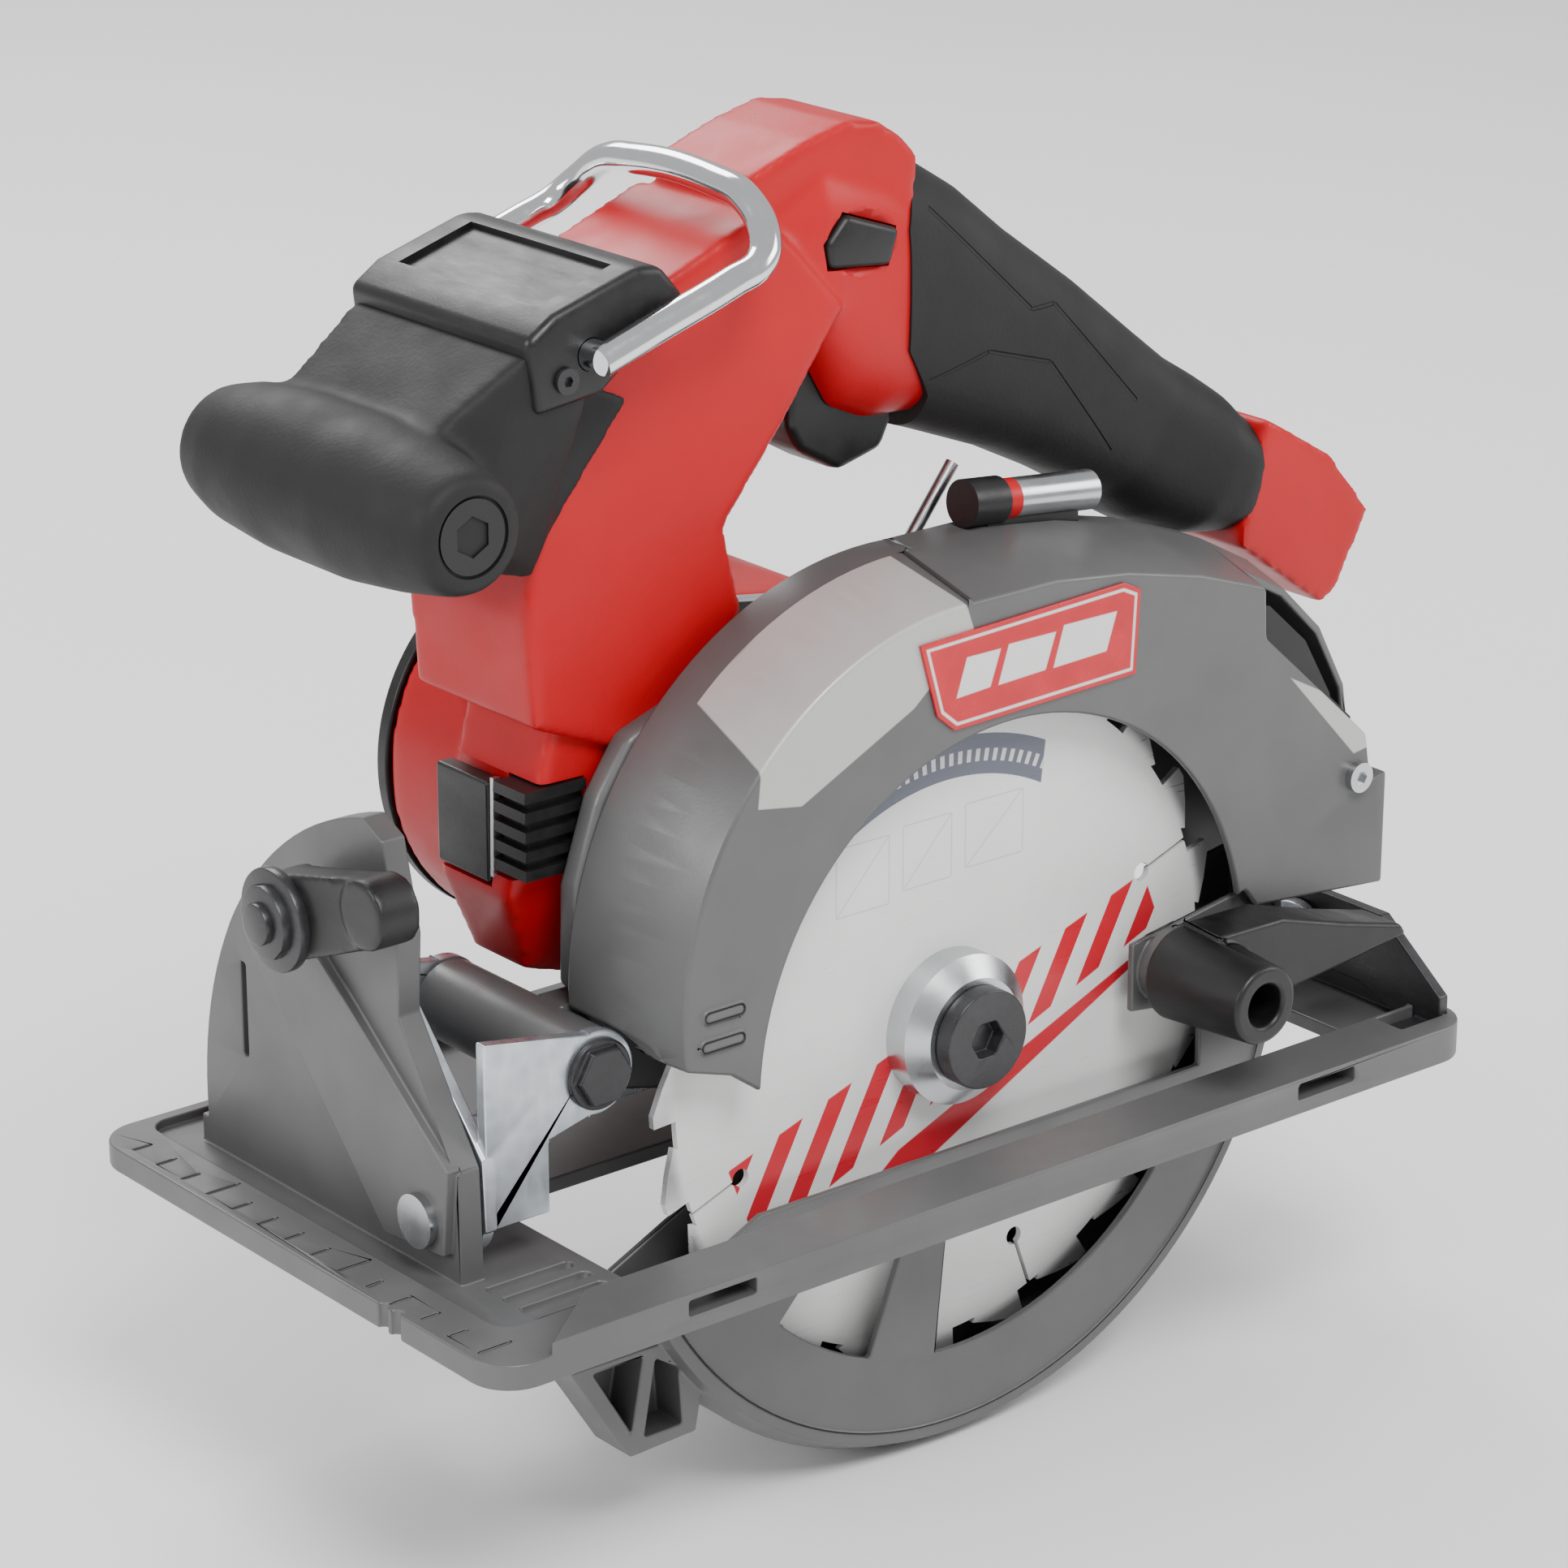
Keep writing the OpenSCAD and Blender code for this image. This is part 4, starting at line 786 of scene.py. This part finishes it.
def front_handle():
    """Front grip on its neck, with a seat for the end plug."""
    bm = bmesh.new()
    x, z = GRIP_AXIS
    loft(bm, [((x, y, z), "y", up, side) for y, up, side in GRIP_RINGS], power=2.0)
    hull_of(bm, [(-98.5, 18, 197), (-98.5, 79, 197), (-82, 18, 187), (-82, 79, 187), (-134, 24, 174),
                 (-134, 72, 174), (-112, 18, 157), (-112, 76, 157), (-90, 27, 148), (-90, 73, 148)])
    slab(bm, [(-97, 184), (-80, 187), (-65, 180.5), (-87, 154), (-91, 146), (-112, 152)], 26.8, 73.2)
    skin = melt("front_handle", bm, 1.3, 10)
    seat = bmesh.new()
    y_rod(seat, GRIP_AXIS, -10, 6, SOCKET_R, 6)
    slab(seat, circle_points(GRIP_AXIS, PLUG_SEAT_R), -3, 1.3)
    skin = carved(skin, seat)
    return finish_piece("front_handle", skin, RUBBER, "saw_unit", ("front_grip",), 50)


def grip_end_plug():
    """Round plug with a six-sided socket in the near end of the front grip."""
    plug = slab_of(circle_points(GRIP_AXIS, PLUG_R), 0.7, 4)
    socket = bmesh.new()
    y_rod(socket, GRIP_AXIS, -1.5, 3.5, SOCKET_R, 6)
    plug = carved(plug, socket)
    return finish_piece("grip_end_plug", plug, BLACK, "saw_unit", ("grip_plug",), 30)


def clamp_block():
    """Block that holds the hook: rounded, with a sunk ribbed top and a slotted front."""
    bm = slab_of([(-99, 200), (-92, 204.6), (-70, 211.3), (-64.5, 210.6), (-58, 203), (-80, 186), (-97, 184)],
                 16.6, 80.4)
    rounded(bm, 2.0, 4, 0.3)
    cutter = slab_of([(-91, 203.5), (-72, 209.4), (-72, 216), (-91, 212)], 24, 73)
    for i in range(5):
        near = 26 + 10 * i
        slab(cutter, [(-97.1, 186), (-99.8, 188.5 + 0.1 * i), (-99.8, 198)], near, near + 4)
    bm = carved(bm, cutter)
    for x in (-88, -83.4, -78.8, -74.2):
        low = 203.2 + (x + 91) * TOP_SLOPE
        slab(bm, [(x, low), (x + 2, low + 0.6), (x + 2, low + 2.4), (x, low + 1.8)], 25, 72)
    pin = bmesh.new()
    y_rod(pin, HINGE, 3.5, 93.5, 3.6)
    bm = carved(bm, pin)
    return finish_piece("clamp_block", bm, BLACK, "saw_unit", ("hook_block",), 35)


def wire_hook():
    """Bent chrome wire: two legs and a closing bar, with its hinge run through the block."""
    curve = bpy.data.curves.new("wire_hook", "CURVE")
    curve.dimensions = "3D"
    curve.bevel_depth = WIRE_R * MM
    curve.bevel_resolution = 8
    curve.resolution_u = 14
    near = [(-84.5, 12, 194.4), (-70, 12, 199.2), (-50, 12, 205.7), (-42, 12.6, 208.6), (-38, 16, 213),
            (-36.2, 24, 219), (-36, 34, 221)]
    far = [(x, 2 * HOOK_Y - y, z) for x, y, z in reversed(near)]
    path = near + far
    spline = curve.splines.new("BEZIER")
    spline.bezier_points.add(len(path) - 1)
    for point, at in zip(spline.bezier_points, path):
        point.co = Vector(at) * MM
        point.handle_left_type = point.handle_right_type = "AUTO"
    curve.use_fill_caps = True
    temp = bpy.data.objects.new("wire_hook_path", curve)
    bpy.context.scene.collection.objects.link(temp)
    bm = baked(temp)
    bmesh.ops.remove_doubles(bm, verts=bm.verts, dist=1e-6)
    bmesh.ops.recalc_face_normals(bm, faces=bm.faces)
    bmesh.ops.scale(bm, vec=(1 / MM, 1 / MM, 1 / MM), verts=bm.verts)
    y_rod(bm, HINGE, HOOK_Y - 37, HOOK_Y + 37, WIRE_R, 32)
    return finish_piece("wire_hook", bm, CHROME, "folding_hook", ("hang_hook",), 40)


# ---- motor ----

# The housing is three round lobes run together: centre and outer radius of each
MOTOR_LOBES = (((-42, 85), 43.3), ((-12, 88), 35.8), ((-14.5, 57), 32.8))
MOTOR_Y = (41, 90.9)
MOTOR_WALL = 3.8


def motor_shell():
    """Red motor housing: a hollow drum with a chin in front that takes the vent."""
    bm = bmesh.new()
    for centre, radius in MOTOR_LOBES:
        slab(bm, circle_points(centre, radius, 64), *MOTOR_Y)
    slab(bm, [(-42, 128.3), (-12, 123.8), (20, 75), (-14, 57), (-60, 60)], *MOTOR_Y)
    hull_of(bm, [(x, y, z) for x, z in ((-88, 95), (-50, 121), (-44, 80), (-84, 112)) for y in (31, 62)]
            + [(x, y, z) for x, z in ((-92.5, 72), (-50, 72)) for y in (36, 62)]
            + [(x, y, z) for x, z in ((-84, 52), (-50, 42)) for y in (42, 62)])
    skin = melt("motor_shell", bm, 1.5, 8)
    skin = carved(skin, slab_of([(-100, 73.2), (-85.8, 73.2), (-85.8, 98.2), (-100, 98.2)], 42.6, 64))
    skin = carved(skin, slab_of([(-100, 75.8), (-75.8, 77.6), (-75.8, 98.3), (-100, 98.6)], 20, 42.4))
    for centre, radius in MOTOR_LOBES:
        skin = carved(skin, slab_of(circle_points(centre, radius - MOTOR_WALL, 64), 44, 94))
    return finish_piece("motor_shell", skin, RED, "saw_unit", ("motor_housing",), 40)


def case_wall():
    """Outer wall of the gear case, standing behind the rim of the upper guard."""
    bm = slab_of([(-85, 53), (-84.5, 76), (-78, 95), (-69.5, 107.5), (-56, 112), (-30, 106), (-20, 60),
                  (-60, 46)], 22.7, 29.4)
    rounded(bm, 1.8, 3)
    return finish_piece("case_wall", bm, PAINT, "saw_unit", smooth_angle=40)


def vent_box():
    """Black louvred vent round the corner of the motor housing, with a thin bright trim line."""
    bm = slab_of([(-90.4, 78.2), (-76.4, 78.2), (-76.4, 97.8), (-89.6, 97.8)], 31.4, 40.8)
    for i in range(5):
        low = 78 + 4.4 * i
        slab(bm, [(-92.4, low), (-76, low), (-76, low + 2.4), (-92.2, low + 2.4)], 29.8, 41.2)
    bmesh.ops.recalc_face_normals(bm, faces=bm.faces)
    finish_piece("vent_box", bm, BLACK, "saw_unit", ("front_louvre",), 30)
    trim = slab_of([(-92.6, 76), (-90.5, 76), (-90.5, 98.4), (-92.2, 98.4)], 41.2, 42.3)
    return finish_piece("vent_trim", trim, STEEL, "saw_unit", smooth_angle=30)


# ---- bevel lever ----

# Hub and tip of the lever in Y and Z, and the X of the arm's two faces
LEVER_HUB = (48.2, 77.0)
LEVER_TIP = (17.4, 86.8)
LEVER_X = (-143.5, -133.4)


def x_disc(bm, centre, x0, x1, radius, count=48):
    """Add a closed disc about an axis along X; the centre is in Y and Z."""
    middle = Matrix.Translation(((x0 + x1) / 2, *centre))
    bmesh.ops.create_cone(bm, cap_ends=True, segments=count, radius1=radius, radius2=radius, depth=x1 - x0,
                          matrix=middle @ Matrix.Rotation(math.pi / 2, 4, "Y"))


def clamp_lever():
    """Rounded arm of the bevel lever."""
    bm = bmesh.new()
    x_disc(bm, LEVER_HUB, *LEVER_X, 9.8)
    x_disc(bm, LEVER_TIP, *LEVER_X, 7.6)
    dy, dz = LEVER_TIP[0] - LEVER_HUB[0], LEVER_TIP[1] - LEVER_HUB[1]
    run = math.hypot(dy, dz)
    across_y, across_z = -dz / run, dy / run
    hull_of(bm, [(x, LEVER_HUB[0] + across_y * r, LEVER_HUB[1] + across_z * r)
                 for r in (9.6, -9.6) for x in (-143.2, -133.6)]
            + [(x, LEVER_TIP[0] + across_y * r, LEVER_TIP[1] + across_z * r)
               for r in (7.4, -7.4) for x in (-142, -134)])
    skin = melt("clamp_lever", bm, 0.8, 6)
    return finish_piece("clamp_lever", skin, BLACK, "bevel_clamp", ("bevel_lever",), 45)


def clamp_nut():
    """Washer, nut and its cap on the hub of the bevel lever."""
    bm = bmesh.new()
    x_disc(bm, LEVER_HUB, -145.2, -142.6, 11.4)
    x_disc(bm, LEVER_HUB, -147.4, -144.8, 8.2, 12)
    x_disc(bm, LEVER_HUB, -149.2, -147.2, 4.6, 32)
    rounded(bm, 0.5, 2, 1.2)
    return finish_piece("clamp_nut", bm, BLACK_STEEL, "bevel_clamp", smooth_angle=40)


# ---- stage ----

# Lamps: name, place and size in metres, and power in watts
LAMPS = (("key", (-0.4, -1.2, 1.7), 0.8, 34), ("side", (1.5, -0.9, 0.9), 0.8, 12),
         ("back", (0.3, 1.5, 1.5), 1.0, 26), ("left", (-1.7, 0.3, 0.9), 0.7, 14))
LAMP_AIM = Vector((0, 0, 0.07))
SKY_STRENGTH = 0.6
CAMERA_AIM = Vector((-0.05253, -0.0081, 0.10192))
CAMERA_AZIMUTH = math.radians(-39.3)
CAMERA_ELEVATION = math.radians(19.86)
CAMERA_DISTANCE = 1.0395


def aim(thing, at, target):
    """Stand a lamp or camera at a place, looking at a target."""
    thing.location = at
    thing.rotation_mode = "QUATERNION"
    thing.rotation_quaternion = (target - Vector(at)).to_track_quat("-Z", "Y")
    bpy.context.scene.collection.objects.link(thing)


def floor_plane():
    """Wide pale floor under the lowest point of the saw."""
    bm = bmesh.new()
    bmesh.ops.create_grid(bm, x_segments=1, y_segments=1, size=4.0)
    bmesh.ops.translate(bm, vec=(0, 0, cad_box[0].z), verts=bm.verts)
    mesh = bpy.data.meshes.new("floor")
    bm.to_mesh(mesh)
    bm.free()
    floor = bpy.data.objects.new("floor", mesh)
    bpy.context.scene.collection.objects.link(floor)
    mesh.materials.append(studio_floor())


def lighting():
    """Even white surroundings and four soft lamps."""
    world = bpy.data.worlds.new("studio")
    bpy.context.scene.world = world
    world.use_nodes = True
    surroundings = world.node_tree.nodes["Background"]
    surroundings.inputs["Color"].default_value = (1, 1, 1, 1)
    surroundings.inputs["Strength"].default_value = SKY_STRENGTH
    for name, at, size, power in LAMPS:
        light = bpy.data.lights.new(name, "AREA")
        light.size = size
        light.energy = power
        aim(bpy.data.objects.new(name, light), at, LAMP_AIM)


def camera():
    """Long lens from the front left, a little above the saw."""
    lens = bpy.data.cameras.new("camera")
    lens.lens = 113.56
    lens.sensor_width = 36
    lens.clip_start, lens.clip_end = 0.05, 20
    level = math.cos(CAMERA_ELEVATION)
    back = Vector((math.sin(CAMERA_AZIMUTH) * level, -math.cos(CAMERA_AZIMUTH) * level,
                   math.sin(CAMERA_ELEVATION)))
    cam = bpy.data.objects.new("camera", lens)
    aim(cam, CAMERA_AIM + back * CAMERA_DISTANCE, CAMERA_AIM)
    bpy.context.scene.camera = cam


# ---- build ----

# CAD pieces that keep their shape, and how wide their edges are rounded
EDGE_WIDTHS = {
    "upper_guard": 0.9, "lower_guard": 0.6, "shoe": 0.5, "rear_bracket": 0.5, "tilt_bracket": 0.4,
    "depth_quadrant": 0.4, "motor_cap": 0.8, "guard_lever": 1.2, "trigger": 2.2, "spindle_lock": 0.8,
    "gear_case": 0.6, "pivot_bolt": 0.5, "blade_bolt": 0.5, "terminal_block": 0.6, "key_clip": 0.8,
    "depth_lever": 1.0, "badge_plate": 0.25}
OWN_MATERIAL = {"upper_guard": GUARD_PAINT, "badge_plate": BADGE}

camera()
floor_plane()
lighting()

for cad_name, obj in frame["nodes"].items():
    obj.data.materials.clear()
    obj.data.materials.append(SLOT_MATERIAL[node_slot(cad_name)])

red_handle()
lock_button()
rear_grip()
grip_end_plug()
front_handle()
clamp_block()
wire_hook()
motor_shell()
clamp_lever()
clamp_nut()
vent_box()
case_wall()
for cad_name, edge_width in EDGE_WIDTHS.items():
    softened(cad_name, edge_width, OWN_MATERIAL.get(cad_name))
